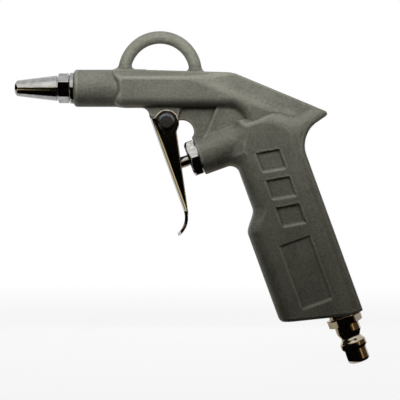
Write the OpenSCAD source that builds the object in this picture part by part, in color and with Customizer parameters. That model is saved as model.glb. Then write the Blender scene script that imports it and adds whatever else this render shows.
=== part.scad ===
// Pneumatic air duster: a lever-operated blow gun with a die-cast body.
// The origin is the centre of the jet's outlet. X runs back along the barrel,
// Y is the width and Z is up. Sizes are in millimetres.
// The valve, the grip and the trigger lean: their frame has its origin on the
// pivot pin, its x axis along the valve and its z axis up the grip.

/* [Nozzle] */
// Diameter of the jet's outlet
outlet_d = 2; // [1.2:0.1:2.8]
// Length of the outlet hole before the bore widens
outlet_l = 5; // [3:0.5:8]
// Diameter of the flat face at the tip
tip_d = 4.6; // [4:0.1:5.4]
// Diameter behind the rounded tip
mouth_d = 7.3; // [6.6:0.1:8]
// Length of the rounded tip
mouth_l = 1.3; // [0.8:0.1:2]
// Largest diameter of the cone
cone_d = 11.8; // [11:0.1:12.6]
// Length of the cone
cone_l = 18.1; // [15:0.1:24]
// Depth of the groove between cone and hexagon
nozzle_groove = 0.5; // [0.2:0.1:0.9]
// Length of that groove
nozzle_groove_l = 0.6; // [0.3:0.1:1.2]
// Nozzle hexagon across its flats
nozzle_hex_af = 12; // [11.6:0.1:13.4]
// Length of the nozzle's hexagon
nozzle_hex_l = 5; // [4:0.1:7]
// Turn of the nozzle's hexagon about the barrel
nozzle_hex_turn = 23; // [0:1:59]

/* [Nozzle adapter] */
// Thickness of the washer behind the nozzle
nozzle_washer_t = 0.4; // [0.3:0.1:0.8]
// Diameter of the threaded nose that carries the nozzle
nose_d = 8; // [7.4:0.1:9]
// Length of that nose
nose_l = 8.5; // [6:0.5:12]
// Diameter of the flange that shows
flange_d = 14.4; // [13.6:0.1:15]
// Thickness of the flange
flange_t = 1.9; // [1.4:0.1:2.6]
// Diameter of the thread in the casting
shank_d = 12; // [11.2:0.1:12.6]
// Length of the thread in the casting
shank_l = 9.5; // [7:0.5:13]
// Bore of the adapter
adapter_bore_d = 5.2; // [4.2:0.1:6]
// Thickness of the O-ring under the flange
adapter_seal_t = 0.9; // [0.7:0.1:1]

/* [Barrel and bar] */
// Diameter of the round barrel
barrel_d = 17.1; // [16.4:0.1:18]
// Length of the round barrel before the flat sides start
barrel_l = 19.9; // [14:0.1:26]
// Chamfer on the barrel's front edge
barrel_chamfer = 0.85; // [0.3:0.05:1.1]
// Width of the casting across its flat sides
bar_w = 19; // [18:0.1:20.4]
// Height of the facets along the bar's long edges
bar_facet = 4.2; // [3:0.1:5]
// Radius of the scoop where the flat sides start
scoop_r = 7.4; // [6.5:0.1:8.2]
// How far the scoop reaches back into the flat sides
scoop_depth = 1; // [0.4:0.1:1.4]
// Radius of the bar's lower edges
bar_round = 4.6; // [3.6:0.1:5]
// Fall of the bar's top from the barrel to the tail's corner
bar_fall = 1.6; // [0.4:0.1:2.4]
// Bore of the barrel behind the adapter
barrel_bore_d = 6.4; // [5:0.1:7]
// Length of the drilled barrel from its front face
barrel_bore_l = 76.2; // [74:0.1:78]

/* [Tail] */
// Distance from the front face to the corner where the tail starts to fall
tail_x = 72.6; // [70:0.1:76]
// Length of the tail's sloping top
tail_l = 47.6; // [44:0.1:50]
// Slope of the tail's top in degrees
tail_slope = 22.6; // [20:0.1:25]
// Height of the tail's side facet, square to its top edge
tail_facet = 8.5; // [6:0.1:10]
// Width of the tail's top edge
tail_edge_w = 14; // [12:0.1:16]
// Width of the tail at its tip
tail_tip_w = 11; // [8:0.1:14]
// Distance from the tip at which the sides start to draw in
tail_draw_l = 24; // [16:0.5:30]
// Radius of the tail's tip
tip_r = 1.2; // [0.6:0.1:1.8]
// Radius under the tail where it meets the grip's back
tail_cove_r = 9.2; // [7:0.1:11]
// Distance from the pivot pin down to the middle of that radius
cove_drop = 33.2; // [32:0.1:35]

/* [Hanging loop] */
// Distance from the front face to the loop's centre
loop_x = 39.4; // [36:0.1:44]
// Height of the loop's centre above the barrel's axis
loop_z = 7; // [6:0.1:8]
// Radius of the loop at the middle of its wire
loop_r = 16.4; // [14:0.1:18]
// Thickness of the loop
loop_d = 5.8; // [4.6:0.1:7]
// Height of the flared feet of the loop
loop_foot_h = 2.4; // [1:0.1:4]
// Width that the feet add all round
loop_foot_w = 1; // [0.5:0.1:2]

/* [Pivot lug and web] */
// Distance from the front face to the pivot pin
pivot_back = 42.5; // [41:0.1:44]
// Distance of the pivot pin below the barrel's axis
pivot_drop = 15.7; // [15:0.1:16.6]
// Thickness of the lug between the trigger's ears
lug_w = 9.4; // [8:0.1:10]
// Radius of the lug round the pin
lug_r = 4.4; // [3.4:0.1:4.6]
// Distance from the pivot pin forward to where the lug leaves the barrel
lug_reach = 12.4; // [11.6:0.1:13]
// Radius of the lug's front where it leaves the barrel
lug_front_r = 4.4; // [3:0.1:4.4]
// Distance from the pivot pin back to the lug's rear edge
lug_back = 5.8; // [5:0.1:7]
// Thickness of the thin web
web_w = 6; // [4:0.1:8]
// Thickness of the web round the air passage
passage_web_w = 11; // [9:0.1:13]
// Distance from the boss's face back to that thicker web
passage_web_back = 6.8; // [5:0.1:8]
// Radius of the rounded end of the pocket beside the web
pocket_r = 8; // [6:0.1:9]
// Distance from the front face to the centre of the pocket's rounded end
pocket_x = 70.7; // [69:0.1:72]

/* [Valve boss] */
// Lean of the valve and of the grip in degrees
lean = 20; // [18:0.5:22]
// Distance of the valve's axis below the pivot pin
valve_drop = 19.7; // [18.5:0.1:20.5]
// Distance from the pivot pin back to the boss's face
boss_back = 8.8; // [8.4:0.1:10]
// Diameter of the valve boss
boss_d = 18; // [17.4:0.1:19]
// Depth of the valve chamber from the boss's face
chamber_l = 33.5; // [32:0.1:34.5]
// Diameter of the air port at the chamber's end
port_d = 7; // [6:0.1:7.4]
// Diameter of the oblique air passage to the barrel
passage_d = 4.4; // [3.6:0.1:5]
// Angle between the valve's axis and the air passage in degrees
passage_angle = 46; // [42:1:48]

/* [Grip] */
// Distance from the pivot pin back to the grip's rear edge
grip_back = 54.8; // [53:0.1:57]
// Depth of the grip's upper part, from front to back
grip_upper_depth = 31.2; // [30:0.1:33]
// Depth of the grip's lower part, from front to back
grip_lower_depth = 37.2; // [35:0.1:39]
// Width of the grip
grip_w = 21; // [20:0.1:23]
// Radius between the boss's underside and the grip's front
boss_fillet_r = 3; // [1.5:0.1:5]
// Radius of the grip's front edges
grip_front_r = 7; // [5:0.1:8]
// Radius of the grip's rear edges
grip_back_r = 3; // [2.4:0.1:5]
// Distance below the pivot pin to the middle of the finger stop
stop_drop = 56; // [52:0.1:60]
// Height of the finger stop's curve
stop_h = 11; // [8:0.1:14]
// Distance below the pivot pin to the grip's front bottom corner
grip_l = 104.4; // [100:0.1:108]
// Slope of the grip's bottom in degrees
bottom_slope = 14; // [10:0.5:18]
// Radius of the bottom front corner
heel_r = 1.8; // [1:0.1:3]
// Distance below the pivot pin to the top of the grip, inside the bar
grip_top_drop = 9; // [8:0.1:10]
// Place of the shoulder's ridge behind the barrel's front
ridge_x = 92.9; // [90:0.1:95]
// Depth of the shoulder's ridge there, below the barrel's axis
ridge_z = 10.9; // [10:0.1:12]
// Rise of the shoulder's ridge from front to back
ridge_slope = 15.2; // [13:0.1:18]
// How much the shoulder narrows for each millimetre of height
ridge_narrowing = 0.37; // [0.25:0.01:0.5]
// Place of the cheek that leads down to the valve boss
cheek_x = 79; // [77:0.1:81]
// Depth of the cheek there, below the barrel's axis
cheek_z = 19; // [18:0.1:20]
// Rise of the cheek from front to back
cheek_slope = 35; // [32:1:38]
// How much the cheek narrows for each millimetre of height
cheek_narrowing = 1; // [0.8:0.05:1.2]

/* [Grip pockets] */
// Number of the small pockets
pocket_count = 3; // [1:1:3]
// Width of a small pocket
pocket_w = 10.9; // [8:0.1:12]
// Height of a small pocket
pocket_h = 9.7; // [8:0.1:11]
// Distance between the small pockets
pocket_pitch = 13.2; // [12:0.1:14]
// Distance from the pivot pin down to the middle of the first pocket
pocket_drop = 33.2; // [32:0.1:35]
// Slant of the pockets' upper and lower edges in degrees
pocket_slant = 9.5; // [0:0.5:12]
// Depth of the small pockets
pocket_depth = 1.1; // [0.6:0.1:1.5]
// How far the pockets and the panel lie forward of the grip's middle
pocket_forward = 0.6; // [0:0.1:1.2]
// Length of the slope at the lower edge of a pocket or the panel
low_ramp = 1.4; // [0.6:0.1:2]
// Length of the slope at the front edge
front_ramp = 0.9; // [0.4:0.1:1.4]
// Length of the slopes at the other two edges
edge_ramp = 0.4; // [0.2:0.05:0.8]
// Width of the long panel
panel_w = 15; // [12:0.1:17]
// Height of the long panel
panel_h = 31.2; // [26:0.1:34]
// Distance from the pivot pin down to the middle of the long panel
panel_drop = 86.4; // [84:0.1:88]
// Depth of the long panel
panel_depth = 0.6; // [0.3:0.1:1]

/* [Trigger] */
// Thickness of the pressed sheet
sheet_t = 1.5; // [1:0.1:1.8]
// Distance from the pivot pin forward to the trigger's face
trigger_front = 6.6; // [6.4:0.1:7.6]
// Clearance between the lug and each ear
ear_gap = 0.3; // [0.2:0.05:0.6]
// Radius of the ears
ear_r = 5.65; // [5:0.05:6]
// Height of the trigger's face above the pivot pin
trigger_top = 4.6; // [3.6:0.1:4.8]
// Distance from the pivot pin down to where the curl starts
curl_drop = 41; // [38:0.5:44]
// Inner radius of the curl
curl_r = 9; // [7:0.1:11]
// Angle of the curl in degrees
curl_angle = 74; // [60:1:80]
// Outer radius of the bends between face and sides
trigger_bend_r = 2.3; // [1.9:0.1:3]
// Depth of the trigger's sides at the ears, behind the pivot pin
side_reach = 2.9; // [2:0.1:4]
// Distance of that point below the pivot pin
side_reach_drop = 4.9; // [4:0.1:5]
// Travel of the trigger in degrees
trigger_travel = 9; // [6:0.5:9]

/* [Pivot pin] */
// Diameter of the pin
pin_d = 4; // [3:0.1:5]
// Diameter of the pin's heads
pin_head_d = 7.9; // [7:0.1:9]
// Height of a head
pin_head_h = 1.5; // [1:0.1:2]
// Chamfer on the heads
pin_head_chamfer = 0.5; // [0.2:0.1:0.9]

/* [Valve cap] */
// Cap hexagon across its flats
cap_hex_af = 16; // [15:0.1:17]
// Length of the cap's hexagon
cap_hex_l = 3.6; // [3:0.1:3.9]
// Thickness of the washer under the hexagon
cap_washer_t = 0.7; // [0.5:0.1:1]
// Outer diameter of the washer
cap_washer_d = 17; // [16:0.1:17.8]
// Diameter of the cap's thread
cap_thread_d = 13; // [12.6:0.1:13.8]
// Length of the cap's thread
cap_thread_l = 8.5; // [7:0.1:9]
// Diameter of the neck behind the thread
cap_neck_d = 10; // [9.4:0.1:10.8]
// Length of the neck
cap_neck_l = 4; // [3.4:0.1:4.2]
// Diameter of the inner land
cap_land_d = 12; // [11.6:0.1:12.4]
// Length of the inner land
cap_land_l = 4.1; // [3.6:0.1:4.4]
// Height of the valve seat
seat_h = 0.4; // [0.3:0.05:0.8]
// Outer diameter of the valve seat
seat_d = 9.2; // [8.8:0.1:9.6]
// Bore of the cap behind the stem's gland
air_d = 7.6; // [7:0.1:8]
// Depth from the boss's face to the stem's gland
gland_depth = 1.2; // [0.8:0.1:2]
// Length of the gland's bush
bush_l = 3.4; // [2.6:0.1:4]
// Diameter of the cross holes in the neck
cross_d = 2.6; // [2:0.1:3]
// Number of cross holes
cross_count = 4; // [2:1:4]
// Thickness of the land's O-ring
gallery_seal_t = 1.15; // [1:0.05:1.2]

/* [Valve stem and poppet] */
// Diameter of the stem
stem_d = 5.2; // [4.8:0.1:5.4]
// Diameter of the stem in the air space
stem_waist_d = 4; // [3.6:0.1:4.1]
// Diameter of the stem's thread
stem_thread_d = 3; // [2.6:0.1:3.4]
// Depth from the boss's face to where the waist starts
waist_depth = 8; // [7:0.1:9]
// Clearance between the stem's tip and the trigger
tip_gap = 0.3; // [0.2:0.05:0.5]
// Diameter of the rubber washer on the seat
poppet_seal_d = 10; // [9.8:0.1:10.2]
// Thickness of the rubber washer
poppet_seal_t = 1.6; // [1.2:0.1:2]
// Depth of the poppet's cup round the rubber washer
cup_depth = 0.8; // [0.5:0.1:1]
// Diameter of the poppet
poppet_d = 11; // [10.8:0.1:11.2]
// Thickness of the poppet behind its cup
poppet_t = 2.8; // [2:0.1:3.4]
// Poppet nut across its flats
nut_af = 5.5; // [5:0.1:6]
// Length of the poppet nut
nut_l = 2.2; // [1.8:0.1:2.6]

/* [Valve spring] */
// Thickness of the spring's wire
wire_d = 0.9; // [0.7:0.05:1]
// Diameter of the spring at the middle of its wire
spring_d = 9.4; // [9:0.1:9.6]
// Number of turns
spring_turns = 5; // [4:0.5:6]

/* [Inlet plug] */
// Distance from the pivot pin back to the plug's axis
plug_back = 45.9; // [45:0.1:47]
// Distance from the grip's front bottom corner down to the inlet's face
inlet_fall = 7; // [6.6:0.1:8]
// Diameter of the inlet boss
inlet_boss_d = 18; // [17.4:0.1:18.6]
// Diameter of the inlet's thread
inlet_thread_d = 13.1; // [12.6:0.1:13.2]
// Length of the plug's thread
inlet_thread_l = 9.5; // [8:0.5:12]
// Diameter of the air bore in the grip
inlet_bore_d = 7.6; // [7.5:0.1:8.4]
// Thickness of the inlet's washer
inlet_washer_t = 0.8; // [0.6:0.1:1.2]
// Outer diameter of the inlet's washer
inlet_washer_d = 16.4; // [15.6:0.1:17]
// Plug hexagon across its flats
plug_hex_af = 14; // [13.6:0.1:15]
// Length of the plug's hexagon
plug_hex_l = 3.2; // [2.6:0.1:5]
// Diameter of the plug's neck
plug_neck_d = 11.4; // [11:0.1:11.8]
// Length of the plug's neck
plug_neck_l = 3.6; // [3:0.1:5]
// Diameter of the locking groove
plug_groove_d = 9; // [8.6:0.1:9.4]
// Length of the taper into the groove
plug_groove_in_l = 2.2; // [1.6:0.1:3]
// Length of the straight groove
plug_groove_l = 0.8; // [0.4:0.1:1.2]
// Length of the taper out of the groove
plug_groove_out_l = 1.9; // [1.4:0.1:2.6]
// Diameter of the plug's collar
collar_d = 12; // [11.9:0.1:12.1]
// Length of the collar
collar_l = 3.4; // [2.8:0.1:4]
// Chamfer from the collar down to the tip
collar_chamfer = 1; // [0.8:0.1:1.4]
// Diameter of the plug's tip
plug_tip_d = 10; // [9.9:0.1:10.1]
// Length of the plug's tip
plug_tip_l = 6.4; // [5:0.1:8]
// Chamfer at the end of the tip
plug_tip_chamfer = 1; // [0.5:0.1:1.4]
// Bore of the plug
plug_bore_d = 5.5; // [4.6:0.1:6]

/* [Clearances] */
// Radial clearance of threads, seals and running fits
fit_gap = 0.05; // [0.02:0.01:0.1]

/* [Hidden] */

casting_colour = "#7b7b70";
chrome_colour = "#c9ccd0";
steel_colour = "#aab0b6";
brass_colour = "#b9975a";
rubber_colour = "#242424";

// How far a cut runs past the surface that it starts from
overrun = 2;
// Turns are drawn with this many facets where a true circle isn't needed
$fn = 48;

// Places along the barrel's axis
nozzle_l = mouth_l + cone_l + nozzle_groove_l + nozzle_hex_l;
flange_x = nozzle_l + nozzle_washer_t;
front_x = flange_x + flange_t;
bar_x = front_x + barrel_l;
corner_x = front_x + tail_x;
pivot_x = front_x + pivot_back;
barrel_r = barrel_d / 2;
bar_half = bar_w / 2;
corner_z = barrel_r - bar_fall;

// Places in the leaning frame
grip_front_upper = grip_back - grip_upper_depth;
grip_front_lower = grip_back - grip_lower_depth;
grip_half = grip_w / 2;
trigger_half = lug_w / 2 + ear_gap + sheet_t;
cap_neck_depth = cap_thread_l + cap_neck_l;
land_end = cap_neck_depth + cap_land_l;
seat_depth = land_end + seat_h;
poppet_depth = seat_depth + poppet_seal_t;
spring_start = poppet_depth + poppet_t;
inlet_drop = grip_l + inlet_fall;
stem_tip = -(boss_back + trigger_front - sheet_t) + tip_gap;
spring_l = chamber_l - spring_start;
stem_seal_t = (air_d - stem_d) / 2 - fit_gap * 2;
bush_depth = gland_depth + stem_seal_t + fit_gap * 2;
valve_bore_d = cap_land_d + fit_gap * 2;
cap_bore_d = cap_thread_d + fit_gap * 2;

// Frames
module leaning() { translate([pivot_x, 0, -pivot_drop]) rotate([0, -lean, 0]) children(); }

// The children's z axis runs from the boss's face into the valve bore
module along_valve() {
    leaning() translate([boss_back, 0, -valve_drop]) rotate([0, 90, 0]) children();
}

// The children's z axis runs from the inlet's face out along the plug
module along_plug() {
    leaning() translate([plug_back, 0, -inlet_drop]) rotate([180, 0, 0]) children();
}

// The children's z axis runs back along the barrel
module along_barrel() { rotate([0, 90, 0]) children(); }

// A side outline, drawn in x and z, with its thickness centred on the middle plane
module side_plate(w) { rotate([90, 0, 0]) linear_extrude(w, center = true) children(); }

// A cross-section, drawn in y and z, carried along x from x0 to x1
module carried(x0, x1) {
    translate([x0, 0, 0]) rotate([90, 0, 90]) linear_extrude(x1 - x0) children();
}

// A point of the leaning frame as a point of the side view
function leaned(p) = [
    pivot_x + p[0] * cos(lean) - p[1] * sin(lean),
    -pivot_drop + p[0] * sin(lean) + p[1] * cos(lean)
];

// Points of an arc from angle a to angle b
function arc(c, r, a, b, n = 8) = [
    for (i = [0 : n]) c + r * [cos(a + (b - a) * i / n), sin(a + (b - a) * i / n)]
];

// A step from 0 to 1 that starts and ends level
function eased(t) = (1 - cos(180 * min(1, max(0, t)))) / 2;

// A straight tube or ring, with its z axis on the children's z axis
module ring(outer_d, inner_d, l) {
    difference() {
        cylinder(d = outer_d, h = l);
        translate([0, 0, -overrun]) cylinder(d = inner_d, h = l + overrun * 2);
    }
}

// An O-ring of thickness t that sits on a shaft of diameter d, with its middle at z = 0
module o_ring(d, t) {
    rotate_extrude() translate([d / 2 + fit_gap + t / 2, 0]) circle(d = t, $fn = 24);
}

// How much of a hexagon's corners is turned away
corner_cut_share = 0.9;

// A hexagon with turned corners at one or both ends
module turned_hex(af, l, low = true, high = true) {
    corner_d = af / cos(30);
    cut = (corner_d - af) / 2 * corner_cut_share;
    fall = cut * tan(30);
    intersection() {
        cylinder(d = corner_d, h = l, $fn = 6);
        union() {
            translate([0, 0, low ? fall : 0])
                cylinder(d = corner_d + overrun, h = l - (low ? fall : 0) - (high ? fall : 0));
            if (low) cylinder(r1 = corner_d / 2 - cut, r2 = corner_d / 2 + cut, h = fall * 2);
            if (high) translate([0, 0, l - fall * 2])
                cylinder(r1 = corner_d / 2 + cut, r2 = corner_d / 2 - cut, h = fall * 2);
        }
    }
}

// The casting's spine: bar and tail as one side outline at full width, faceted
// along its upper edges, and drawn in towards the tail's tip
function tail_point(along, below) = [
    corner_x + along * cos(tail_slope) - below * sin(tail_slope),
    corner_z - along * sin(tail_slope) - below * cos(tail_slope)
];

// Angle at which the cove behind the grip meets the tail's underside
cove_end = 96;
// Angle at which the tip's round end meets the underside
tip_end = -60;

module spine_outline() {
    tip_centre = tail_point(tail_l - tip_r, tip_r);
    cove = arc([grip_back + tail_cove_r, -cove_drop], tail_cove_r, 180, cove_end);
    polygon(concat(
        [[bar_x, -barrel_r], [bar_x, barrel_r], [corner_x, corner_z]],
        arc(tip_centre, tip_r, 90 - tail_slope, tip_end - tail_slope, 5),
        [for (i = [len(cove) - 1 : -1 : 0]) leaned(cove[i])],
        [
            leaned([grip_back - grip_back_r, -cove_drop]),
            leaned([plug_back - inlet_boss_d / 2, -valve_drop])
        ],
        arc([front_x + pocket_x, -barrel_r - pocket_r], pocket_r, 0, 90)
    ));
}

// What the tail's side facets take away. The planes run on down to the grip's full width
module tail_facets() {
    slope = (bar_half - tail_edge_w / 2) / tail_facet;
    reach = grip_half + overrun;
    translate([corner_x, 0, corner_z]) rotate([0, tail_slope, 0]) for (side = [-1, 1])
        carried(-tail_l, tail_l * 2) polygon([
            [side * tail_edge_w / 2, 0],
            [side * reach, (tail_edge_w / 2 - reach) / slope],
            [side * reach, tail_l],
            [side * tail_edge_w / 2, tail_l]
        ]);
}

// Draws both sides in above a line of the side view, from a half width at the line
module sloped_sides(point, angle, half, narrowing, h) {
    reach = grip_half + overrun;
    translate([front_x + point[0], 0, -point[1]]) rotate([0, -angle, 0]) for (side = [-1, 1])
        carried(-tail_l * 2, tail_l * 2) polygon([
            [side * reach, (half - reach) / narrowing],
            [side * reach, h],
            [side * (half - narrowing * h), h]
        ]);
}

module spine() {
    crease_z = barrel_r - bar_facet;
    intersection() {
        difference() {
            side_plate(bar_w) spine_outline();
            for (side = [-1, 1]) {
                // Facets along the bar's upper edges
                carried(bar_x - overrun, corner_x + tail_l) polygon([
                    [side * bar_half, crease_z],
                    [side * (bar_half + overrun), crease_z - overrun],
                    [side * (bar_half + overrun), barrel_r + overrun],
                    [side * (bar_half - bar_facet - overrun), barrel_r + overrun]
                ]);
            }
            // The lower edges are round, and run on round the pocket's end
            for (side = [0, 1]) mirror([0, side, 0]) {
                carried(bar_x - overrun, front_x + pocket_x) polygon(concat(
                    arc([bar_half - bar_round, bar_round - barrel_r], bar_round, -90, 0, corner_steps),
                    [
                        [bar_half + overrun, bar_round - barrel_r],
                        [bar_half + overrun, -barrel_r - overrun],
                        [bar_half - bar_round, -barrel_r - overrun]
                    ]
                ));
                translate([front_x + pocket_x, 0, -barrel_r - pocket_r]) rotate([-90, 0, 0])
                    rotate_extrude() polygon(concat(
                        arc([pocket_r + bar_round, bar_half - bar_round], bar_round, 90, 180, corner_steps),
                        [
                            [pocket_r - fit_gap, bar_half - bar_round],
                            [pocket_r - fit_gap, bar_half + fit_gap],
                            [pocket_r + bar_round, bar_half + fit_gap]
                        ]
                    ));
            }
            tail_facets();
            // The flats start with a round scoop behind the barrel
            for (side = [-1, 1]) translate([bar_x + scoop_depth - scoop_r, side * bar_half, 0])
                rotate([90, 0, 0]) cylinder(r = scoop_r, h = bar_half - barrel_r + scoop_depth, center = true);
        }
        // Seen from above, the sides draw in towards the tip
        linear_extrude(tail_l * 4, center = true) polygon([
            [0, -bar_w], [0, bar_w],
            [corner_x + tail_l * cos(tail_slope) - tail_draw_l, bar_w],
            [corner_x + tail_l * cos(tail_slope) - tail_draw_l, bar_half],
            [corner_x + tail_l * cos(tail_slope), tail_tip_w / 2],
            [corner_x + tail_l * cos(tail_slope), -tail_tip_w / 2],
            [corner_x + tail_l * cos(tail_slope) - tail_draw_l, -bar_half],
            [corner_x + tail_l * cos(tail_slope) - tail_draw_l, -bar_w]
        ]);
    }
}

// The round barrel, with a chamfered front edge
module barrel() {
    translate([front_x, 0, 0]) along_barrel() {
        cylinder(r1 = barrel_r - barrel_chamfer, r2 = barrel_r, h = barrel_chamfer);
        translate([0, 0, barrel_chamfer]) cylinder(r = barrel_r, h = barrel_l + barrel_chamfer);
    }
}

// A half ring that stands on two flared feet
module hanging_loop() {
    translate([front_x + loop_x, 0, loop_z]) {
        rotate([90, 0, 0]) rotate_extrude(angle = 180) translate([loop_r, 0]) circle(d = loop_d);
        for (side = [-1, 1]) translate([side * loop_r, 0, 0]) {
            translate([0, 0, -loop_z / 2]) cylinder(d = loop_d, h = loop_z / 2);
            cylinder(d1 = loop_d + loop_foot_w * 2, d2 = loop_d - fit_gap * 2, h = loop_foot_h);
            translate([0, 0, -loop_z / 2]) cylinder(d = loop_d + loop_foot_w * 2, h = loop_z / 2);
        }
    }
}

// The lug between the trigger's ears, round below the pin
lug_steps = 16;
// Angle at which the lug's round end meets its back edge
lug_end = 345;
module lug() {
    side_plate(lug_w) polygon(concat(
        [[pivot_x - lug_reach, -barrel_r + overrun]],
        arc([pivot_x - lug_reach, -barrel_r - lug_front_r], lug_front_r, 90, 0),
        [
            leaned([-trigger_front, trigger_top + ear_gap * 2]),
            leaned([-lug_r, trigger_top + ear_gap * 2])
        ],
        [for (p = arc([0, 0], lug_r, 180, lug_end, lug_steps)) leaned(p)],
        [
            [pivot_x + lug_back, lug_r / 8 - pivot_drop],
            [pivot_x + lug_back, -barrel_r + overrun]
        ]
    ));
}

// Points of the web's front edge, as shares of boss_back and of the ears' radius
web_edge_shares = [[1.2, 1.2], [1.07, 0.7], [0.89, 0.38]];
// Start of the thicker web before the pocket's centre, as a share of the pocket's radius
passage_web_share = 0.75;

// The thin web, and the thicker web that holds the air passage
module web() {
    side_plate(web_w) polygon([
        [pivot_x + lug_r, -barrel_r + overrun],
        [front_x + pocket_x + pocket_r, -barrel_r + overrun],
        [front_x + pocket_x + pocket_r + overrun, -barrel_r - pocket_r],
        leaned([plug_back - inlet_boss_d / 2, -valve_drop]),
        leaned([boss_back + overrun, -valve_drop]),
        leaned([boss_back + overrun / 5, -valve_drop + boss_d / 2]),
        for (share = web_edge_shares) leaned([boss_back * share[0], -ear_r * share[1]]),
        [pivot_x + lug_r, lug_r / 5 - pivot_drop]
    ]);
    side_plate(passage_web_w) polygon([
        [front_x + pocket_x - pocket_r * passage_web_share, -barrel_r + overrun],
        [front_x + pocket_x + pocket_r, -barrel_r + overrun],
        [front_x + pocket_x + pocket_r + overrun, -barrel_r - pocket_r],
        leaned([plug_back - inlet_boss_d / 2, -valve_drop]),
        leaned([boss_back + passage_web_back, -valve_drop]),
        leaned([boss_back + passage_web_back, -valve_drop + boss_d / 2]),
        [front_x + pocket_x - pocket_r * passage_web_share, -barrel_r - overrun / 2]
    ]);
}

// The grip is lofted through level sections with round corners. Each row gives
// the height, the front edge, the half width and the front corner's radius
corner_steps = 5;
function grip_front(z) = grip_front_upper
    + (grip_front_lower - grip_front_upper) * eased((-stop_drop + stop_h / 2 - z) / stop_h);

grip_rows = concat(
    [[-grip_top_drop, grip_front_upper, grip_half, grip_front_r]],
    [
        for (t = [0 : 0.25 : 1])
            [-valve_drop - boss_d / 2 - t * boss_fillet_r,
             grip_front_upper - boss_fillet_r * (1 - sqrt(1 - pow(1 - t, 2))),
             grip_half, grip_front_r]
    ],
    [
        for (t = [0 : 0.125 : 1]) let (z = -stop_drop + stop_h / 2 - stop_h * t)
            [z, grip_front(z), grip_half, grip_front_r]
    ],
    [[-grip_l + heel_r, grip_front_lower, grip_half, grip_front_r]]
);

// The last section lies in the sloping plane of the grip's bottom
function bottom_z(x) = -grip_l - (x - grip_front_lower - heel_r) * tan(bottom_slope);

function grip_section(front, half, rf) = let (back = grip_back, rb = grip_back_r) concat(
    arc([back - rb, half - rb], rb, 0, 90, corner_steps),
    arc([front + rf, half - rf], rf, 90, 180, corner_steps),
    arc([front + rf, rf - half], rf, 180, 270, corner_steps),
    arc([back - rb, rb - half], rb, 270, 360, corner_steps)
);

module grip_loft() {
    bottom = grip_section(grip_front_lower + heel_r, grip_half - heel_r / 4, grip_front_r);
    rings = concat(
        [[for (p = bottom) [p[0], p[1], bottom_z(p[0])]]],
        [
            for (i = [len(grip_rows) - 1 : -1 : 0]) let (row = grip_rows[i])
                [for (p = grip_section(row[1], row[2], row[3])) [p[0], p[1], row[0]]]
        ]
    );
    n = len(bottom);
    top = (len(rings) - 1) * n;
    polyhedron(
        points = [for (ring_points = rings) for (p = ring_points) p],
        faces = concat(
            [for (j = [1 : n - 2]) [0, j, j + 1]],
            [for (j = [1 : n - 2]) [top, top + j + 1, top + j]],
            [for (i = [0 : len(rings) - 2]) for (j = [0 : n - 1])
                [i * n + j, (i + 1) * n + j, (i + 1) * n + (j + 1) % n]],
            [for (i = [0 : len(rings) - 2]) for (j = [0 : n - 1])
                [i * n + j, (i + 1) * n + (j + 1) % n, i * n + (j + 1) % n]]
        )
    );
}

// A recess with a slope of its own length at each edge, sheared by the given angle
module recess(w, h, shear, depth) {
    function corner(x, z, y) = [x, y, z - x * tan(shear)];
    function outline(front, back, low, high, y) = [
        corner(front - w / 2, low - h / 2, y), corner(w / 2 - back, low - h / 2, y),
        corner(w / 2 - back, h / 2 - high, y), corner(front - w / 2, h / 2 - high, y)
    ];
    polyhedron(
        points = concat(
            outline(0, 0, 0, 0, fit_gap),
            outline(front_ramp, edge_ramp, low_ramp, edge_ramp, -depth)
        ),
        faces = concat(
            [[0, 1, 2, 3], [7, 6, 5, 4]],
            [for (i = [0 : 3]) [(i + 1) % 4, i, i + 4, (i + 1) % 4 + 4]]
        )
    );
}

// The sheared square pockets and the long panel on both sides of the grip
module grip_pockets() {
    middle = (grip_front_upper + grip_back) / 2 - pocket_forward;
    lower_middle = (grip_front_lower + grip_back) / 2 - pocket_forward / 2;
    for (side = [0, 1]) mirror([0, side, 0]) {
        for (i = [0 : pocket_count - 1])
            translate([middle, grip_half, -pocket_drop - i * pocket_pitch])
                recess(pocket_w, pocket_h, pocket_slant, pocket_depth);
        translate([lower_middle, grip_half, -panel_drop]) recess(panel_w, panel_h, 0, panel_depth);
    }
}

module grip() {
    difference() {
        grip_loft();
        // The bottom ends at the inlet's face
        translate([plug_back - grip_l, -grip_w, -inlet_drop - grip_l])
            cube([grip_l * 2, grip_w * 2, grip_l]);
        grip_pockets();
    }
}

// Everything that is drilled or bored in the casting
module body_bores() {
    along_barrel() {
        translate([0, 0, front_x - overrun])
            cylinder(d = shank_d + fit_gap * 2, h = shank_l + overrun * 1.5);
        translate([0, 0, front_x]) cylinder(d = barrel_bore_d, h = barrel_bore_l);
        // Seat of the O-ring under the flange
        translate([0, 0, front_x - overrun])
            cylinder(
                d = shank_d + (fit_gap * 3 + adapter_seal_t) * 2,
                h = overrun + adapter_seal_t + fit_gap
            );
    }
    along_valve() {
        translate([0, 0, -overrun]) cylinder(d = cap_bore_d, h = cap_neck_depth + overrun);
        cylinder(d = valve_bore_d, h = chamber_l);
        cylinder(d = port_d, h = plug_back - boss_back + overrun / 2);
        // Drilled obliquely through the mouth of the valve bore, up to the barrel's bore
        translate([-cap_bore_d / 2 + overrun, 0, cap_thread_l + cap_neck_l / 2])
            rotate([0, -passage_angle, 0]) cylinder(d = passage_d, h = passage_l);
    }
    along_plug() {
        translate([0, 0, -inlet_thread_l - overrun])
            cylinder(d = inlet_thread_d + fit_gap * 2, h = inlet_thread_l + overrun * 2);
        translate([0, 0, valve_drop - inlet_drop - overrun / 2])
            cylinder(d = inlet_bore_d, h = inlet_drop - valve_drop);
    }
    leaning() rotate([90, 0, 0]) cylinder(d = pin_d + fit_gap * 2, h = grip_w, center = true);
}

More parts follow.
